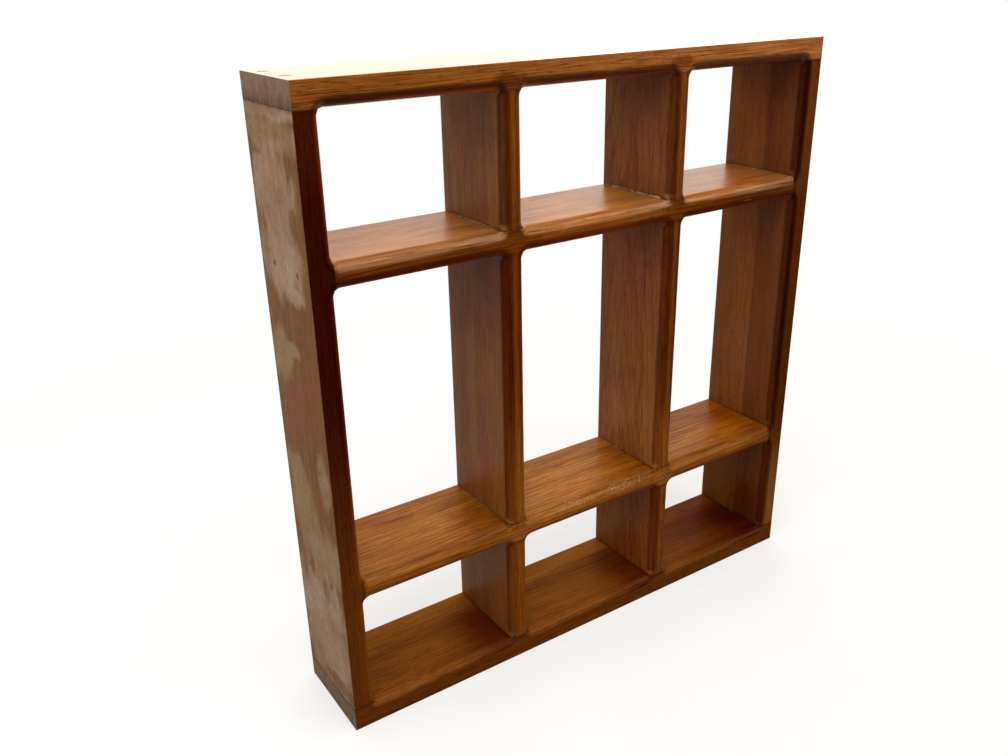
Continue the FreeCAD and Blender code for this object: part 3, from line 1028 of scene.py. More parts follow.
class BeadShaper(Shaper):
    """Lays an uneven bead of dried glue along a line of edges."""

    STEP = 1.5 * MM
    LUMP = 9 * MM
    SIDES = 10

    def __init__(self) -> None:
        """Build the tree."""
        sockets = {"Radius": "NodeSocketFloat", "Seed": "NodeSocketFloat", "Glue": "NodeSocketMaterial"}
        super().__init__("glue bead", sockets)
        line = self.add("GeometryNodeMeshToCurve", {"Mesh": self.given["Geometry"]})
        line = self.add("GeometryNodeResampleCurve", {"Curve": line, "Length": self.STEP}, mode="LENGTH")
        spot = self.add("GeometryNodeInputPosition")
        inputs = {"Vector": spot, "W": self.given["Seed"], "Scale": 1 / self.LUMP, "Detail": 2.0}
        lumps = self.add("ShaderNodeTexNoise", inputs, noise_dimensions="4D")
        inputs = {"Value": lumps, "From Min": 0.3, "From Max": 0.7, "To Min": 0.25, "To Max": 1.0}
        girth = self.add("ShaderNodeMapRange", inputs)
        along = self.add("GeometryNodeSplineParameter", out="Factor")
        ends = self.add("ShaderNodeMath", {0: along, 1: -2.0, 2: 1.0}, operation="MULTIPLY_ADD")
        ends = self.add("ShaderNodeMath", {0: ends}, operation="ABSOLUTE")
        inputs = {"Value": ends, "From Min": 0.9, "From Max": 1.0, "To Min": 1.0, "To Max": 0.3}
        ends = self.add("ShaderNodeMapRange", inputs)
        girth = self.add("ShaderNodeMath", {0: girth, 1: ends}, operation="MULTIPLY")
        girth = self.add("ShaderNodeMath", {0: girth, 1: self.given["Radius"]}, operation="MULTIPLY")
        ring = self.add("GeometryNodeCurvePrimitiveCircle", {"Resolution": self.SIDES, "Radius": 1.0})
        inputs = {"Curve": line, "Profile Curve": ring, "Scale": girth, "Fill Caps": True}
        self.close(self.add("GeometryNodeCurveToMesh", inputs), self.given["Glue"])


@dataclass(frozen=True)
class DowelPair:
    """A pair of fluted hardwood dowels or pegs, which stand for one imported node."""

    node: str
    run: Run
    diameter: float
    flush_low: bool = False
    flush_high: bool = False
    bevel: float = 1.0 * MM
    flute_depth: float = 0.3 * MM

    @property
    def length(self) -> float:
        """Length of each dowel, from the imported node's box."""
        low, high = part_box(self.node)
        return high[self.run.value] - low[self.run.value]

    def starts(self) -> list[Vector]:
        """Find the low ends of both axes.

        Returns:
            The front dowel's and the rear dowel's.
        """
        low, high = (Vector(corner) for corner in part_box(self.node))
        middle = (low + high) / 2
        places = []
        for back in (low.y + self.diameter / 2, high.y - self.diameter / 2):
            place = middle.copy()
            place.y = back
            place[self.run.value] = low[self.run.value]
            places.append(place)
        return places

    def make(self, shaper: DowelShaper, wood: Material) -> None:
        """Turn both dowels, as one object, and hang them on the unit.

        Args:
            shaper: The tree that turns them.
            wood: The dowels' material.
        """
        values = {
            "Diameter": self.diameter,
            "Length": self.length,
            "Low Bevel": 0.0 if self.flush_low else self.bevel,
            "High Bevel": 0.0 if self.flush_high else self.bevel,
            "Flute Depth": self.flute_depth,
            "Turn": self.run.turn,
            "Wood": wood,
        }
        piece = shaper.grow(f"{self.node}_turned", self.starts(), [], values)
        smooth_but_sharp(piece)
        seat(piece, "dowel_wood", self.node)


@dataclass
class Board:
    """One board of the unit: planed, cut to length, and routed along its front edges."""

    node: str
    run: Run
    slot: str
    timber: Timber
    finishes: tuple[Finish, ...]
    low_bays: Spans = ()
    high_bays: Spans = ()
    log_place: Triple = (0.0, 0.0, 0.0)
    ends_show: bool = False
    drilled_for: tuple[DowelPair, ...] = ()
    ease: float = 0.35 * MM
    wear: float = 0.16 * MM
    wear_length: float = 19 * MM
    wear_width: float = 6 * MM
    grid_step: float = 3.0 * MM
    cut: RouterCut = field(default_factory=RouterCut)

    # Points over the back, as shares of half the thickness, and along a wall, as shares of its depth.
    BACK_SHARES = (0.86, 0.45, 0.12)
    WALL_SHARES = (0.0, 0.02, 0.12, 0.24, 0.36, 0.48, 0.6, 0.71, 0.81, 0.89, 0.95, 0.985, 1.0)
    # Points over the rounding, and the last one before the middle of the front.
    ROUND_STEPS = 9
    FRONT_SHARE = 0.94
    # Stations about each end of a compartment, in millimetres, and the least distance between two.
    END_MARKS = range(-10, 9)
    LEAST_GAP = 0.2 * MM

    def __post_init__(self) -> None:
        """Read the board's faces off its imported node."""
        low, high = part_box(self.node)
        self.start, self.end = low[self.run.value], high[self.run.value]
        self.low_wall, self.high_wall = low[self.run.across], high[self.run.across]
        self.front, self.back = low[1], high[1]
        self.thickness = self.high_wall - self.low_wall

    def inside(self, along: float, bays: Spans) -> float:
        """How far a place along the board lies inside the nearest compartment, below 0 outside."""
        return max(min(along - start, end - along) for start, end in bays)

    def eased(self, into: float) -> float:
        """How far the sanded-off arris is cut back at a distance from it."""
        return self.ease * (1 - into / self.ease) ** 2 if into < self.ease else 0.0

    def front_point(self, along: float, into: float, bays: Spans) -> tuple[float, float]:
        """The cut-back of the front face and how rounded it is there.

        Args:
            along: Place along the board.
            into: Distance from the nearer wall.
            bays: Compartments beside that wall.

        Returns:
            The cut-back, and the rounding from 0 on a flat to 1 in the middle of the round.
        """
        depth, rounding = self.eased(into), 0.0
        if bays:
            inside = self.inside(along, bays)
            depth = max(depth, self.cut.depth(inside, into))
            share = self.cut.reach(inside, into) / self.cut.radius
            if 0.0 < share < 1.0:
                rounding = math.sin(math.pi * share) ** 0.7
                spot = Vector((along / self.wear_length, into / self.wear_width, self.start * 50))
                depth += self.wear * (0.5 + noise.noise(spot)) * rounding
        return depth, rounding

    def seam_nearness(self, along: float, sideways: float) -> float:
        """How near a point is to a joint line.

        Args:
            along: Place along the board.
            sideways: Place across its thickness.

        Returns:
            1 on the line, 0 beyond the reach of its grime and painted shade.
        """
        away = SEAM_REACH
        walls = (
            (self.low_bays, sideways - self.low_wall),
            (self.high_bays, self.high_wall - sideways),
        )
        for bays, into in walls:
            if bays:
                away = min(away, math.hypot(max(0.0, self.inside(along, bays)), into))
        if not self.ends_show:
            away = min(away, along - self.start, self.end - along)
        return 1.0 - max(0.0, away) / SEAM_REACH

    def stations(self) -> list[tuple[float, float]]:
        """Choose the places along the board at which its outline is drawn.

        Returns:
            Each place, with how far the outline is drawn in there.
        """
        marks = {self.start + 2 * self.ease, self.end - 2 * self.ease}
        for start, end in self.low_bays + self.high_bays:
            for edge in (start, end):
                marks.update(edge + step * MM for step in self.END_MARKS)
        count = max(2, round((self.end - self.start) / self.grid_step))
        plain = [self.start + (self.end - self.start) * i / count for i in range(1, count)]
        marks = sorted(marks)
        marks += [p for p in plain if min(abs(p - m) for m in marks) > 0.6 * self.grid_step]
        margin = 1.5 * self.ease
        inner = [m for m in sorted(marks) if self.start + margin < m < self.end - margin]
        spaced = [inner[0]]
        for mark in inner[1:]:
            if mark - spaced[-1] > self.LEAST_GAP:
                spaced.append(mark)
        ends = [(0.0, self.ease), (0.3 * self.ease, 0.3 * self.ease), (self.ease, 0.0)]
        rings = [(self.start + shift, drawn) for shift, drawn in ends]
        rings += [(mark, 0.0) for mark in spaced]
        rings += [(self.end - shift, drawn) for shift, drawn in reversed(ends)]
        return rings

    def half_outline(self, along: float, drawn: float, low_side: bool) -> list[tuple]:
        """Half of the board's outline, from the middle of the back round to the front.

        Args:
            along: Place along the board.
            drawn: How far the outline is drawn in, as at an eased end.
            low_side: Whether it is the half with the low wall.

        Returns:
            Sideways place, depth and rounding of each point.
        """
        bays = self.low_bays if low_side else self.high_bays
        wall = self.low_wall if low_side else self.high_wall
        sign = 1.0 if low_side else -1.0
        shrink = 1.0 - 2.0 * drawn / self.thickness
        half = self.thickness / 2
        radius = self.cut.radius

        def sideways(into: float) -> float:
            """Place across the board of a point so far from the wall."""
            return wall + sign * (drawn + into * shrink)

        points = []
        corner = [self.ease, 0.3 * self.ease]
        for into in [share * half for share in self.BACK_SHARES] + corner:
            points.append((sideways(into), self.back - drawn - self.eased(into), 0.0))
        rear = self.back - drawn - self.ease
        fore = self.front + drawn + self.front_point(along, 0.0, bays)[0]
        for share in self.WALL_SHARES:
            points.append((sideways(0.0), rear + (fore - rear) * share, 0.0))
        curve = corner[::-1]
        for step in range(1, self.ROUND_STEPS + 1):
            bow = 1 - math.cos(math.pi / 2 * step / self.ROUND_STEPS)
            curve.append(self.ease + (radius - self.ease) * bow)
        curve.append(self.FRONT_SHARE * half)
        for into in curve:
            depth, rounding = self.front_point(along, into, bays)
            points.append((sideways(into), self.front + drawn + depth, rounding))
        return points

    def build(self) -> Piece:
        """Loft the board through its stations and drill it for its dowels.

        Returns:
            The board as an object with seam and rounding attributes on its mesh.
        """
        verts, seams, rounds, faces = [], [], [], []
        rings = self.stations()
        for along, drawn in rings:
            low = self.half_outline(along, drawn, True)
            high = self.half_outline(along, drawn, False)
            for sideways, back, rounding in low + high[::-1]:
                place = [0.0, back, 0.0]
                place[self.run.value], place[self.run.across] = along, sideways
                verts.append(place)
                seams.append(self.seam_nearness(along, sideways))
                rounds.append(rounding)
        size = len(verts) // len(rings)
        for ring in range(len(rings) - 1):
            base = ring * size
            for i in range(size):
                j = (i + 1) % size
                faces.append((base + i, base + j, base + size + j, base + size + i))
        for base in (0, (len(rings) - 1) * size):
            for i in range(size // 2 - 1):
                far = size - 1 - i
                faces.append((base + i, base + i + 1, base + far - 1, base + far))
        mesh = bpy.data.meshes.new(self.node)
        mesh.from_pydata(verts, [], faces)
        for label, values in (("seam", seams), ("rounding", rounds)):
            mesh.attributes.new(label, "FLOAT", "POINT").data.foreach_set("value", values)
        work = bmesh.new()
        work.from_mesh(mesh)
        bmesh.ops.recalc_face_normals(work, faces=work.faces)
        work.to_mesh(mesh)
        work.free()
        piece = stand(f"{self.node}_routed", mesh)
        self.drill(piece)
        smooth_but_sharp(piece)
        return piece

    def drill(self, piece: Piece) -> None:
        """Cut the dowel holes out of a board.

        Args:
            piece: The board's object.
        """
        if not self.drilled_for:
            return
        work = bmesh.new()
        clearance, overrun = 0.1 * MM, 1.0 * MM
        for pair in self.drilled_for:
            turn = Matrix.Rotation(pair.run.turn[1], 4, "Y")
            for start in pair.starts():
                middle = start.copy()
                middle[pair.run.value] += pair.length / 2
                bmesh.ops.create_cone(
                    work,
                    cap_ends=True,
                    segments=48,
                    radius1=pair.diameter / 2 + clearance,
                    radius2=pair.diameter / 2 + clearance,
                    depth=pair.length + 2 * overrun,
                    matrix=Matrix.Translation(middle) @ turn,
                )
        mesh = bpy.data.meshes.new("drill")
        work.to_mesh(mesh)
        work.free()
        drill = stand("drill", mesh)
        modifier = piece.modifiers.new("holes", "BOOLEAN")
        modifier.operation = "DIFFERENCE"
        modifier.solver = "EXACT"
        modifier.object = drill
        bake_modifiers(piece)
        bpy.data.objects.remove(drill)

    def dress(self, piece: Piece) -> None:
        """Give the board its timber and finishes and hang it on the unit.

        Args:
            piece: The board's object.
        """
        skin = Skin(f"oiled hardwood, planed, {self.node}", self.run, self.log_place)
        self.timber.grain(skin)
        for finish in self.finishes:
            finish.apply(skin)
        piece.data.materials.clear()
        piece.data.materials.append(skin.close())
        seat(piece, self.slot, self.node)

    def make(self) -> None:
        """Build and dress the board."""
        self.dress(self.build())


@dataclass(frozen=True)
class Grid:
    """The compartments' clear widths and heights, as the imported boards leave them."""

    columns: Spans
    rows: Spans

    @classmethod
    def from_frame(cls) -> "Grid":
        """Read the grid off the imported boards.

        Returns:
            The grid.
        """
        xs = [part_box("left_side_board")[1][0]]
        for divider in ("middle_left_divider", "middle_right_divider"):
            xs += [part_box(divider)[0][0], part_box(divider)[1][0]]
        xs.append(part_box("right_side_board")[0][0])
        zs = [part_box("bottom_board")[1][2]]
        for shelf in ("lower_shelf", "upper_shelf"):
            zs += [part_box(shelf)[0][2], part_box(shelf)[1][2]]
        zs.append(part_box("top_board")[0][2])
        return cls(tuple(zip(xs[0::2], xs[1::2])), tuple(zip(zs[0::2], zs[1::2])))


@dataclass(frozen=True)
class SpeckledMatter:
    """A dull matter whose fine specks vary between two colours, with a slight relief."""

    name: str
    low: str
    high: str
    speck_mm: float
    low_at: float = 0.35
    high_at: float = 0.65
    roughness: float = 0.6
    sheen: float = 0.1
    relief_mm: float = 0.15

    def make(self) -> Material:
        """Make the material.

        Returns:
            The material.
        """
        material = blank_material(self.name)
        graph = Graph(material.node_tree)
        place = graph.add("ShaderNodeTexCoord", out="Object")
        speck = {"Vector": place, "Scale": 1 / (self.speck_mm * MM), "Detail": 3.0}
        specks = graph.add("ShaderNodeTexNoise", speck)
        stops = {self.low_at: linear(self.low), self.high_at: linear(self.high)}
        relief = {"Height": specks, "Strength": 0.4, "Distance": self.relief_mm * MM}
        surface = {
            "Base Color": graph.add("ShaderNodeValToRGB", {0: specks}, stops=stops),
            "Roughness": self.roughness,
            "Normal": graph.add("ShaderNodeBump", relief),
            "Specular IOR Level": self.sheen,
        }
        shader = graph.add("ShaderNodeBsdfPrincipled", surface)
        graph.add("ShaderNodeOutputMaterial", {"Surface": shader})
        return material


# Dense hardwood, sanded flush and oiled: the ends show as faint ovals, duller than the board's gloss.
DOWEL_WOOD = SpeckledMatter(
    "hardwood dowel, turned", "#5a3c22", "#8c6a45", 0.9, high_at=0.75, roughness=0.42, sheen=0.12
)
# The same wood in the thin pegs, sanded flush with a dusty face: the ends show as faint brown dots.
PEG_WOOD = SpeckledMatter(
    "hardwood peg, sanded flush", "#4f3c2c", "#8c7561", 0.9, high_at=0.75, roughness=0.7, sheen=0.01
)
# Squeezed-out glue with polishing dust in it: dull, pinkish grey and slightly grainy.
WOOD_GLUE = SpeckledMatter("dried wood glue", "#573722", "#9b7660", 4.0, 0.38, 0.62, relief_mm=0.2)
# A black cloth that mirrors nothing, so that the oiled fronts keep their depth.
VELVET = SpeckledMatter("black velvet", "#0a0a0a", "#1c1c1c", 2.5, roughness=0.95, sheen=0.0)


@dataclass
class Joinery:
    """All the dowels and pegs, in pairs, with the sizes that they are turned to."""

    corner_diameter: float = 10 * MM
    joint_diameter: float = 8 * MM
    peg_diameter: float = 5 * MM
    pairs: dict[str, DowelPair] = field(default_factory=dict)

    def __post_init__(self) -> None:
        """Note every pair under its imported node's name."""
        corner, joint, peg = self.corner_diameter, self.joint_diameter, self.peg_diameter
        pairs = []
        for side in ("left", "right"):
            pairs += [
                DowelPair(f"top_{side}_corner_dowels", Run.UPRIGHT, corner, flush_high=True),
                DowelPair(f"bottom_{side}_corner_dowels", Run.UPRIGHT, corner, flush_low=True),
                DowelPair(f"{side}_divider_foot_dowels", Run.UPRIGHT, joint),
                DowelPair(f"{side}_divider_head_dowels", Run.UPRIGHT, joint),
            ]
            for level in ("lower", "upper"):
                pegs = f"{level}_shelf_{side}_end_dowels"
                pairs.append(DowelPair(f"{level}_{side}_crossing_dowels", Run.UPRIGHT, joint))
                pairs.append(DowelPair(pegs, Run.LEVEL, peg, side == "left", side == "right"))
        self.pairs = {pair.node: pair for pair in pairs}

    def named(self, *words: str) -> tuple[DowelPair, ...]:
        """Find the pairs whose node's name holds one of the words."""
        return tuple(p for name, p in self.pairs.items() if any(word in name for word in words))

    def make(self) -> None:
        """Turn every pair and hang it on the unit."""
        shaper = DowelShaper()
        woods = {Run.UPRIGHT: DOWEL_WOOD.make(), Run.LEVEL: PEG_WOOD.make()}
        for pair in self.pairs.values():
            pair.make(shaper, woods[pair.run])


@dataclass
class GlueLines:
    """The beads of glue that show on the shelves, at the feet of the boards beside them."""

    grid: Grid
    thick: float = 2.6 * MM
    thin: float = 0.9 * MM
    trace: float = 0.6 * MM
    short: float = 12 * MM
    seed_step: float = 3.7

    def make(self) -> None:
        """Lay every bead, centred on its corner line, and hang it on the unit."""
        shaper, glue = BeadShaper(), WOOD_GLUE.make()
        back = BACK - 2 * MM
        upper, lower = self.grid.rows[2][0], self.grid.rows[1][0]
        left, right, side = (column[1] for column in self.grid.columns)
        beads = (
            ("glue_line_upper_left", left, upper, self.thin, self.short),
            ("glue_line_upper_right", right, upper, self.thick, self.short),
            ("glue_line_upper_side", side, upper, self.thin, self.short),
            ("glue_line_lower_left", left, lower, self.trace, 40 * MM),
            ("glue_line_lower_right", right, lower, self.trace, 60 * MM),
        )
        for seed, (name, across, up, radius, inset) in enumerate(beads):
            points = [(across, back, up), (across, FRONT + inset, up)]
            values = {"Radius": radius, "Seed": self.seed_step * seed, "Glue": glue}
            piece = shaper.grow(name, points, [(0, 1)], values)
            piece.data.shade_smooth()
            seat(piece, "shelf_wood")


@dataclass
class Unit:
    """The whole shelving unit: its boards, their grain and finish, and their joints."""

    grid: Grid = field(default_factory=Grid.from_frame)
    joinery: Joinery = field(default_factory=Joinery)

    def level_boards(self) -> list[Board]:
        """Plan the top and the bottom, which lie over and under the side boards.

        Returns:
            The two boards.
        """
        columns, named = self.grid.columns, self.joinery.named
        top = Board(
            "top_board",
            Run.LEVEL,
            "top_board_wood",
            Timber(middle="#9c5b26", light="#c58243", ring_mm=2.2, figure=0.15, roughness=0.24, sheen=0.5),
            (
                EndGrain(),
                OilAndPaintedLight((0.29, 0.2, 0.15), (0.79, 0.72, 0.47)),
                # Painted shade on the underside, lighter at the left and far darker toward the right;
                # painted light and sheen on the front, paler and greyer toward the right.
                ToneShift((-0.22, 0, 0), (-0.21, 0, 0), (2.5, 2.0, 1.0), zone=Zone.UNDER),
                ToneShift((-0.22, 0, 0), (0.24, 0, 0), (0.16, 0.06, 0.03), 0.3, Zone.UNDER),
                ToneShift((-0.22, 0, 0), (0.24, 0, 0), (1.64, 1.84, 3.2), 0.3, Zone.FRONT),
                SmudgeAndPaintedLight((-0.098, FRONT, 0.586), (0.022, 0.004, 0.009), (0.55, 0.42, 0.35)),
                SmudgeAndPaintedLight((0.094, FRONT, 0.588), (0.018, 0.004, 0.008), (0.6, 0.5, 0.42)),
                WaxFilm((Patch(50, 300, 400, 900),), colour="#8c7d6f", cloud_mm=9.0),
                SeamDirtAndShade(),
            ),
            low_bays=columns,
            log_place=(40.0, 26.0, 900.0),
            ends_show=True,
            drilled_for=named("top_left_corner", "top_right_corner", "divider_head"),
        )
        bottom = Board(
            "bottom_board",
            Run.LEVEL,
            "bottom_board_wood",
            Timber("#4a1f06", "#783f12", "#9c5d22", sheen=0.008, contrast=0.85),
            (
                EndGrain(),
                OilAndPaintedLight(fronts=(0.86, 0.8, 0.6), crests=(1.25, 1.27, 1.15)),
                # Painted light and shade on the top: lighter behind the front edge and toward the back,
                # darker in the right compartment and at the right end of each compartment. The front also
                # grows greyer toward the right.
                ToneShift((0.08, 0, 0), (0.2, 0, 0), (0.98, 1.1, 1.6), 0.2, Zone.FRONT),
                ToneShift((0, FRONT + 9 * MM, 0), (0, FRONT + 15 * MM, 0), (1.24, 1.31, 0.86), 0.1),
                ToneShift((0.09, 0, 0), (0.22, 0, 0), (0.54, 0.38, 0.09), 0.2, Zone.INSIDE),
                BayShade(columns, 75 * MM, (0.42, 0.22, 0.12)),
                ToneShift((0, 0.01, 0), (0, 0.034, 0), (1.4, 1.6, 1.8), 0.1),
                RubAndPaintedHighlight(0.12),
                WaxFilm((Patch(50, 0, 400, 900),), colour="#908573", cloud_mm=9.0),
                SeamDirtAndShade(),
            ),
            high_bays=columns,
            log_place=(60.0, -35.0, 2100.0),
            ends_show=True,
            drilled_for=named("bottom_left_corner", "bottom_right_corner", "divider_foot"),
        )
        return [top, bottom]

    def side_boards(self) -> list[Board]:
        """Plan the two sides, each glued up from two strips whose line shows.

        Returns:
            The two boards.
        """
        rows, named = self.grid.rows, self.joinery.named
        film = WaxFilm(
            laid=(
                Patch(50, 575, 62, 9),
                Patch(44, 508, 46, 47),
                Patch(44, 455, 48, 36),
                Patch(62, 430, 24, 12),
                Patch(50, 84, 72, 74),
            ),
            wiped=(
                Patch(46, 561, 44, 7),
                Patch(18, 547, 15, 10),
                Patch(82, 492, 10, 12),
                Patch(68, 36, 28, 9),
            ),
        )
        thin_film = WaxFilm(
            laid=(
                Patch(52, 556, 60, 15),
                Patch(20, 366, 28, 26),
                Patch(42, 376, 20, 8),
                Patch(20, 250, 26, 20),
                Patch(86, 266, 14, 28),
                Patch(30, 216, 34, 36),
                Patch(64, 180, 50, 30),
            ),
            wiped=(Patch(50, 352, 12, 12), Patch(64, 138, 14, 17)),
            colour="#ab9475",
            strength=0.62,
            least=0.0,
            cloud_mm=30.0,
        )
        left = Board(
            "left_side_board",
            Run.UPRIGHT,
            "side_board_wood",
            Timber("#633c1a", "#7c512c", "#905f31", figure=0.15, sheen=0.006, roughness=0.42),
            (
                EndGrain(),
                OilAndPaintedLight(rounds=PLAIN),
                ToneShift((0, BACK - 49 * MM, 0), (0, BACK - 51 * MM, 0), (1.12, 1.12, 1.12)),
                ToneShift((0, BACK - 55 * MM, 0), (0, BACK - 58 * MM, 0), (0.8, 0.78, 0.78)),
                # Painted shade and light over the heights: the front and the rounding darker higher up,
                # then lighter again near the top.
                HeightStainAndShade((0.83, 0.54, 0.21), (0.25, 0.067, 0.056), 0.08, 0.37),
                HeightStainAndShade((1.3, 0.9, 0.35), (0.66, 0.15, 0.022), 0.16, 0.34, Zone.ROUNDING),
                HeightStainAndShade(PLAIN, (1.8, 2.4, 3.6), 0.46, 0.56, Zone.ROUNDING),
                HeightStainAndShade(PLAIN, (1.38, 1.9, 1.0), 0.5, 0.56),
                thin_film,
                film,
                Grit(),
                SmudgeAndPaintedLight((LEFT, BACK - 64 * MM, 0.139), (0.004, 0.011, 0.017), (0.72, 0.7, 0.66)),
                SeamDirtAndShade(),
            ),
            high_bays=rows,
            log_place=(340.0, 20.0, 3300.0),
            drilled_for=named("left_corner", "left_end"),
        )
        wall = self.grid.columns[2][1]
        right = Board(
            "right_side_board",
            Run.UPRIGHT,
            "side_board_wood",
            Timber("#44210f", "#854d1e", "#ac6f30", contrast=0.55, figure=0.1, sheen=0.05),
            (
                EndGrain(),
                OilAndPaintedLight(rounds=PLAIN),
                ToneShift((0, BACK - 54 * MM, 0), (0, BACK - 57 * MM, 0), (0.66, 0.61, 0.64), 0.02),
                # Painted shade in the top front corner of the upper compartment and the bottom front corner
                # of the lower one.
                SmudgeAndPaintedLight((wall, FRONT + 22 * MM, rows[2][1]), (0.006, 0.034, 0.06), (0.8, 0.72, 0.66)),
                SmudgeAndPaintedLight((wall, FRONT + 22 * MM, rows[0][0]), (0.006, 0.04, 0.07), (0.75, 0.6, 0.4)),
                # Painted light and shade over the heights: the front lighter near the bottom and the top,
                # the inside face darker near the bottom, the rounding darker, most of all near the top.
                HeightStainAndShade((1.75, 2.17, 2.75), (0.72, 0.57, 0.275), 0.08, 0.17),
                HeightStainAndShade((0.9, 0.77, 0.42), PLAIN, 0.11, 0.17, Zone.INSIDE),
                HeightStainAndShade(PLAIN, (1.35, 1.6, 3.6), 0.42, 0.48),
                HeightStainAndShade((0.36, 0.18, 0.12), (0.21, 0.078, 0.039), 0.15, 0.27, Zone.ROUNDING),
                HeightStainAndShade(PLAIN, (0.75, 0.65, 0.6), 0.45, 0.52, Zone.ROUNDING),
                SeamDirtAndShade(),
            ),
            low_bays=rows,
            log_place=(-355.0, -48.0, 4700.0),
            drilled_for=named("right_corner", "right_end"),
        )
        return [left, right]

    def shelves(self) -> list[Board]:
        """Plan the two shelves.

        Returns:
            The two boards.
        """
        columns, named = self.grid.columns, self.joinery.named
        edge, flat = (0, FRONT + 7 * MM, 0), (0, FRONT + 13 * MM, 0)
        upper = Board(
            "upper_shelf",
            Run.LEVEL,
            "shelf_wood",
            Timber(sheen=0.09, roughness=0.36, contrast=0.9),
            (
                EndGrain(),
                OilAndPaintedLight((0.7, 0.4, 0.22), (0.7, 0.59, 0.36), (1.27, 1.38, 1.55)),
                # Painted light and shade: the top lighter behind the front edge and darker in the right
                # compartment; a painted highlight along the upper front edge, paler and greyer in the
                # middle compartment and greyer in the right one; painted shade, greyer, at the right end of
                # each compartment. The roundings are also darker in the left compartment.
                ToneShift(edge, flat, (1.72, 1.96, 1.47), 0.1),
                ToneShift((0.1, 0, 0), (0.23, 0, 0), (0.93, 0.87, 0.78), 0.2, Zone.INSIDE),
                ToneShift((-0.1, 0, 0), (-0.22, 0, 0), (0.82, 0.76, 0.65), 0.2, Zone.ROUNDING),
                SmudgeAndPaintedLight((0.0, FRONT, 0.449), (0.1, 0.006, 0.013), (1.55, 1.8, 2.6)),
                SmudgeAndPaintedLight((0.2, FRONT, 0.449), (0.07, 0.004, 0.012), (0.8, 0.88, 1.5)),
                BayShade(columns, 80 * MM, (0.66, 0.74, 1.4)),
                RubAndPaintedHighlight(0.5, "#e6ad76"),
                SmudgeAndPaintedLight((0.2, FRONT + 16 * MM, 0.46), (0.035, 0.009, 0.004), (0.75, 0.55, 0.45)),
                Scratch((0.182, FRONT + 1 * MM, 0.4455), (0.209, FRONT + 1 * MM, 0.4452)),
                SeamDirtAndShade(),
            ),
            low_bays=columns,
            high_bays=columns,
            log_place=(70.0, 44.0, 5900.0),
            drilled_for=named("upper_shelf", "upper_left_cr", "upper_right_cr"),
        )
        lower = Board(
            "lower_shelf",
            Run.LEVEL,
            "shelf_wood",
            Timber(middle="#864d1b", light="#b97d33", sheen=0.03),
            (
                EndGrain(),
                OilAndPaintedLight((1.1, 0.86, 0.58), (1.3, 1.32, 1.4), (1.12, 1.12, 1.1)),
                # Painted light and shade on the top: lighter behind the front edge and in a patch left of
                # the middle, darker in the right compartment and at the right end of each compartment. The
                # front also grows darker toward the left.
                ToneShift((-0.08, 0, 0), (-0.2, 0, 0), (0.88, 0.78, 0.5), 0.2, Zone.FRONT),
                ToneShift(edge, flat, (1.3, 1.33, 1.12), 0.1),
                ToneShift((0.1, 0, 0), (0.23, 0, 0), (0.84, 0.7, 0.3), 0.2, Zone.INSIDE),
                BayShade(columns, 65 * MM, (0.7, 0.56, 0.25)),
                SmudgeAndPaintedLight((-0.04, -0.01, self.grid.rows[1][0]), (0.07, 0.07, 0.003), (1.16, 1.18, 1.1)),
                RubAndPaintedHighlight(0.15, "#efae6c"),
                Pits(0.7, -0.08, 0.05, "#e2bb90"),
                SeamDirtAndShade(),
            ),
            low_bays=columns,
            high_bays=columns,
            log_place=(55.0, -62.0, 7300.0),
            drilled_for=named("lower_shelf", "lower_left_cr", "lower_right_cr"),
        )
        return [upper, lower]

    def dividers(self) -> list[Board]:
        """Plan the six dividers, cut from two boards whose grain runs on from row to row.

        Returns:
            The six boards.
        """
        left = Timber("#4b250a", "#7d4a1e", "#9f6b2d", sheen=0.055, contrast=0.75, figure=0.1)
        wild = {"figure": 0.45, "ring_mm": 5.0, "taper": 0.06, "wander_mm": 7.0}
        right = Timber("#4d250c", "#864e22", "#a76d35", sheen=0.055, contrast=0.7, **wild)
        stock = {"left": (left, (380.0, 15.0, 8600.0)), "right": (right, (-40.0, -12.0, 9900.0))}
        # Oil with painted light on each divider: shade on the roundings that face left, and a lighter or
        # darker front.
        oil_and_painted_light = {
            "lower_left": OilAndPaintedLight((0.76, 0.6, 0.38), (1.3, 1.04, 0.5)),
            "middle_left": OilAndPaintedLight((0.71, 0.52, 0.26), (1.46, 1.31, 0.88)),
            "upper_left": OilAndPaintedLight((0.34, 0.23, 0.23), (1.02, 0.76, 0.4)),
            "lower_right": OilAndPaintedLight((0.46, 0.33, 0.15), (1.12, 1.08, 0.8)),
            "middle_right": OilAndPaintedLight((0.69, 0.49, 0.2), (1.51, 1.42, 0.89)),
            "upper_right": OilAndPaintedLight((0.33, 0.2, 0.12), (1.12, 0.95, 0.68)),
        }
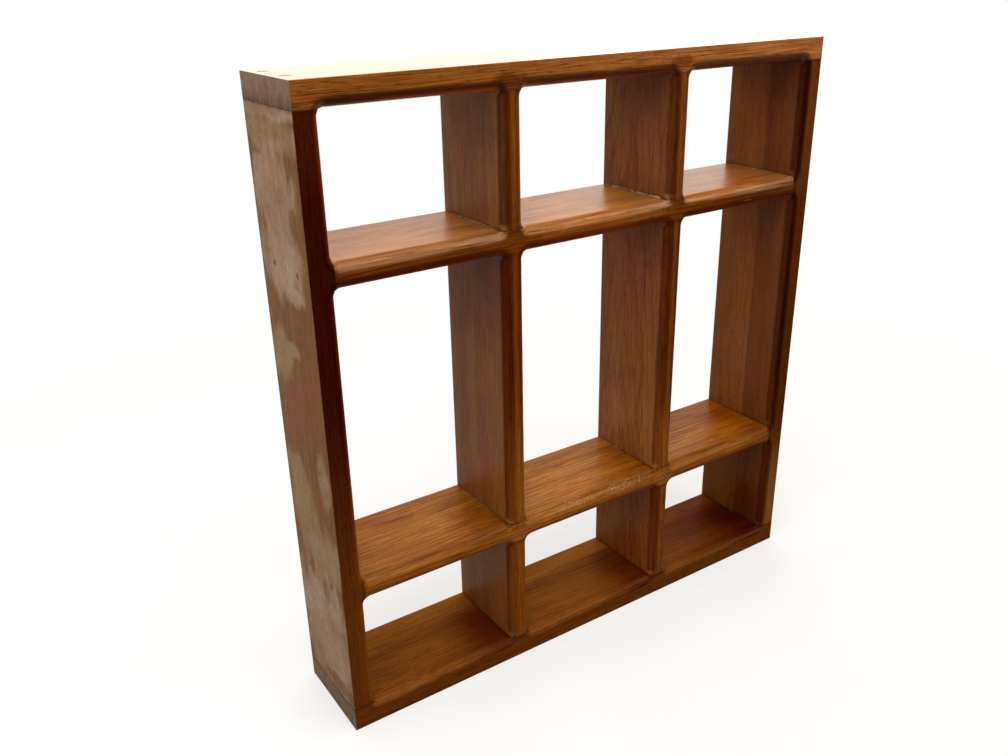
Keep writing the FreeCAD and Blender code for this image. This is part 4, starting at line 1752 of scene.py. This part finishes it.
        # Painted light and shade: in the middle row the fronts and roundings darker high up and the inner
        # faces lighter low and darker high; in the top and bottom rows the inner faces lighter and greyer,
        # or darker, as a whole.
        painted_light_and_shade = {
            "middle_left": (
                HeightStainAndShade(PLAIN, (0.67, 0.53, 0.39), 0.2, 0.33),
                HeightStainAndShade(PLAIN, (0.58, 0.38, 0.19), 0.19, 0.34, Zone.ROUNDING),
                HeightStainAndShade((1.12, 1.14, 1.1), PLAIN, 0.2, 0.27, Zone.INSIDE),
                HeightStainAndShade(PLAIN, (0.85, 0.7, 0.5), 0.32, 0.38, Zone.INSIDE),
            ),
            "upper_left": (HeightStainAndShade(PLAIN, (1.1, 1.3, 1.55), 0.45, 0.46, Zone.INSIDE),),
            "lower_left": (HeightStainAndShade(PLAIN, (1.14, 1.1, 0.92), 0.02, 0.03, Zone.INSIDE),),
            "middle_right": (
                HeightStainAndShade(PLAIN, (0.62, 0.56, 0.55), 0.19, 0.25),
                HeightStainAndShade(PLAIN, (0.54, 0.48, 0.46), 0.19, 0.34, Zone.ROUNDING),
                HeightStainAndShade((1.24, 1.29, 1.45), PLAIN, 0.2, 0.27, Zone.INSIDE),
            ),
            "upper_right": (HeightStainAndShade(PLAIN, (0.97, 1.04, 1.2), 0.45, 0.46, Zone.INSIDE),),
            "lower_right": (HeightStainAndShade(PLAIN, (0.97, 0.87, 0.52), 0.02, 0.03, Zone.INSIDE),),
        }
        joints = {
            "lower": ("{}_divider_foot", "lower_{}_cr"),
            "middle": ("lower_{}_cr", "upper_{}_cr"),
            "upper": ("upper_{}_cr", "{}_divider_head"),
        }
        boards = []
        for row, bay in zip(joints, self.grid.rows):
            for side, (timber, log_place) in stock.items():
                name = f"{row}_{side}"
                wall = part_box(f"{name}_divider")[0][0]
                # Painted shade in the top front corner of each compartment.
                shade = SmudgeAndPaintedLight((wall, FRONT + 22 * MM, bay[1]), (0.006, 0.034, 0.07), (0.8, 0.7, 0.62))
                boards.append(
                    Board(
                        f"{name}_divider",
                        Run.UPRIGHT,
                        "divider_wood",
                        timber,
                        (EndGrain(), oil_and_painted_light[name], *painted_light_and_shade[name], shade, SeamDirtAndShade()),
                        low_bays=(bay,),
                        high_bays=(bay,),
                        log_place=log_place,
                        drilled_for=self.joinery.named(*(joint.format(side) for joint in joints[row])),
                    )
                )
        return boards

    def make(self) -> None:
        """Make every piece of the unit."""
        for board in self.level_boards() + self.side_boards() + self.shelves() + self.dividers():
            board.make()
        self.joinery.make()
        GlueLines(self.grid).make()


@dataclass(frozen=True)
class PaperFloor:
    """White background paper, matte, with a faint unevenness; far off it fades to plain white."""

    colour: str = "#f6f5ef"
    shade: str = "#edece6"
    bounce: str = "#b4b3ae"
    cloud: float = 200 * MM
    fibre: float = 1.11 * MM
    near_share: float = 0.55
    fade_start: float = 0.3
    fade_end: float = 1.4

    def make(self) -> Material:
        """Make the floor's material.

        Returns:
            The material.
        """
        material = blank_material("white background paper")
        graph = Graph(material.node_tree)
        place = graph.add("ShaderNodeTexCoord", out="Object")
        clouds = graph.add("ShaderNodeTexNoise", {"Vector": place, "Scale": 1 / self.cloud, "Detail": 4.0})
        inputs = {0: clouds, 6: linear(self.shade), 7: linear(self.colour)}
        colour = graph.add("ShaderNodeMix", inputs, out=2, data_type="RGBA")
        camera = graph.add("ShaderNodeLightPath", out="Is Camera Ray")
        inputs = {0: camera, 6: linear(self.bounce), 7: colour}
        colour = graph.add("ShaderNodeMix", inputs, out=2, data_type="RGBA")
        fibre = graph.add("ShaderNodeTexNoise", {"Vector": place, "Scale": 1 / self.fibre, "Detail": 2.0})
        relief = {"Height": fibre, "Strength": 0.1, "Distance": 0.1 * MM}
        surface = {
            "Base Color": colour,
            "Roughness": 0.85,
            "Specular IOR Level": 0.2,
            "Normal": graph.add("ShaderNodeBump", relief),
        }
        paper = graph.add("ShaderNodeBsdfPrincipled", surface)
        white = graph.add("ShaderNodeEmission", {"Strength": 1.0})
        distance = graph.add("ShaderNodeVectorMath", {0: place}, out="Value", operation="LENGTH")
        inputs = {"Value": distance, "From Min": self.fade_start, "From Max": self.fade_end}
        far = graph.add("ShaderNodeMapRange", inputs, interpolation_type="SMOOTHSTEP")
        far = graph.add("ShaderNodeMapRange", {"Value": far, "To Min": self.near_share, "To Max": 1.0})
        share = graph.add("ShaderNodeMath", {0: far, 1: seen_directly(graph)}, operation="MULTIPLY")
        shader = graph.add("ShaderNodeMixShader", {0: share, 1: paper, 2: white})
        graph.add("ShaderNodeOutputMaterial", {"Surface": shader})
        return material


def seen_directly(graph: Graph) -> Socket:
    """Join the camera, glossy and transmission rays to one mask.

    Args:
        graph: The tree that gets the nodes.

    Returns:
        1 for those rays, 0 for the light's other paths.
    """
    rays = graph.add("ShaderNodeLightPath").node.outputs
    mask = rays["Is Camera Ray"]
    for other in ("Is Glossy Ray", "Is Transmission Ray"):
        mask = graph.add("ShaderNodeMath", {0: mask, 1: rays[other]}, operation="MAXIMUM")
    return mask


@dataclass(frozen=True)
class SoftBox:
    """One large soft lamp of the studio."""

    name: str
    place: Triple
    size: tuple[float, float]
    watts: float
    colour: str = "#ffffff"
    aim: Triple = (0.0, 0.0, 0.3)

    def make(self) -> None:
        """Hang the lamp and turn it to its aim."""
        lamp = bpy.data.lights.new(self.name, "AREA")
        lamp.shape = "RECTANGLE"
        lamp.size, lamp.size_y = self.size
        lamp.energy = self.watts
        lamp.color = linear(self.colour)[:3]
        holder = stand(self.name, lamp)
        holder.location = self.place
        holder.visible_camera = False
        toward = Vector(self.aim) - Vector(self.place)
        holder.rotation_euler = toward.to_track_quat("-Z", "Y").to_euler()


@dataclass
class Studio:
    """The camera at the photograph's viewing angle, the paper floor and the soft lamps."""

    eye: Triple = (-0.55047, -0.71924, 0.66987)
    heading: float = 33.364
    pitch: float = -23.384
    roll: float = -1.226
    focal_length_pixels: float = 947.35
    floor_radius: float = 12.0
    ambient: float = 0.33
    lamps: tuple[SoftBox, ...] = (
        SoftBox("overhead_softbox", (-0.05, -0.45, 1.6), (1.2, 0.9), 17.0),
        SoftBox("left_softbox", (-1.7, -0.4, 1.45), (2.4, 1.2), 21.0),
        SoftBox("rear_softbox", (1.2, 1.7, 1.1), (2.6, 1.2), 13.0, "#fff3dc"),
        SoftBox("right_softbox", (1.8, 1.0, 0.7), (2.0, 1.2), 5.0),
        SoftBox("top_softbox", (0.0, 0.9, 1.8), (2.4, 0.9), 12.0),
    )
    flag_place: Triple = (0.6, -1.7, 0.8)
    flag_size: tuple[float, float] = (2.6, 1.7)

    def make_camera(self) -> None:
        """Place the camera."""
        heading, pitch, roll = (math.radians(a) for a in (self.heading, self.pitch, self.roll))
        level = math.cos(pitch)
        forward = Vector((math.sin(heading) * level, math.cos(heading) * level, math.sin(pitch)))
        right = forward.cross(Vector((0.0, 0.0, 1.0))).normalized()
        up = right.cross(forward)
        tilted_right = right * math.cos(roll) + up * math.sin(roll)
        tilted_up = up * math.cos(roll) - right * math.sin(roll)
        lens = bpy.data.cameras.new("camera")
        lens.sensor_fit = "HORIZONTAL"
        lens.sensor_width = 36.0
        lens.lens = self.focal_length_pixels / PICTURE_WIDTH * lens.sensor_width
        lens.clip_start = 0.01
        camera = stand("camera", lens)
        turn = Matrix((tilted_right, tilted_up, -forward)).transposed()
        camera.matrix_world = Matrix.Translation(self.eye) @ turn.to_4x4()
        bpy.context.scene.camera = camera

    def make_floor(self) -> None:
        """Lay the floor as one wide disc."""
        work = bmesh.new()
        bmesh.ops.create_circle(work, cap_ends=True, segments=96, radius=self.floor_radius)
        mesh = bpy.data.meshes.new("paper_floor")
        work.to_mesh(mesh)
        work.free()
        mesh.materials.append(PaperFloor().make())
        stand("paper_floor", mesh)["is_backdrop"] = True

    def make_flag(self) -> None:
        """Stand a black cloth in front, out of the picture, so that the fronts mirror the dark."""
        across, tall = (side / 2 for side in self.flag_size)
        corners = ((-across, -tall), (across, -tall), (across, tall), (-across, tall))
        mesh = bpy.data.meshes.new("black_flag")
        mesh.from_pydata([(x, 0.0, z) for x, z in corners], [], [(0, 1, 2, 3)])
        mesh.transform(Matrix.Translation(self.flag_place))
        mesh.materials.append(VELVET.make())
        flag = stand("black_flag", mesh)
        flag.visible_camera = False
        flag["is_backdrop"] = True

    def make_world(self) -> None:
        """Surround the unit with white where it is seen, and a soft even light elsewhere."""
        world = bpy.data.worlds.new("white studio")
        world.use_nodes = True
        world.node_tree.nodes.clear()
        graph = Graph(world.node_tree)
        white = (1.0, 1.0, 1.0, 1.0)
        seen = graph.add("ShaderNodeBackground", {"Color": white, "Strength": 1.0})
        lit = graph.add("ShaderNodeBackground", {"Color": white, "Strength": self.ambient})
        both = graph.add("ShaderNodeMixShader", {0: seen_directly(graph), 1: lit, 2: seen})
        graph.add("ShaderNodeOutputWorld", {"Surface": both})
        bpy.context.scene.world = world

    def make(self) -> None:
        """Set up the whole studio."""
        bpy.context.scene.view_settings.view_transform = "Standard"
        self.make_camera()
        self.make_floor()
        self.make_flag()
        self.make_world()
        for lamp in self.lamps:
            lamp.make()


def write_sizes() -> None:
    """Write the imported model's box and the visual model's box as plain lists.
    """
    boxes = {"cad": CAD_BOX, "visual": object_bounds()}
    sizes = {name: [[float(v) for v in corner] for corner in box] for name, box in boxes.items()}
    LOG.info("sizes: %s", sizes)


def main() -> None:
    """Make the studio and the unit."""
    logging.basicConfig(level=logging.INFO, format="%(name)s: %(message)s")
    Studio().make()
    Unit().make()
    write_sizes()


if __name__ == "__main__":
    main()
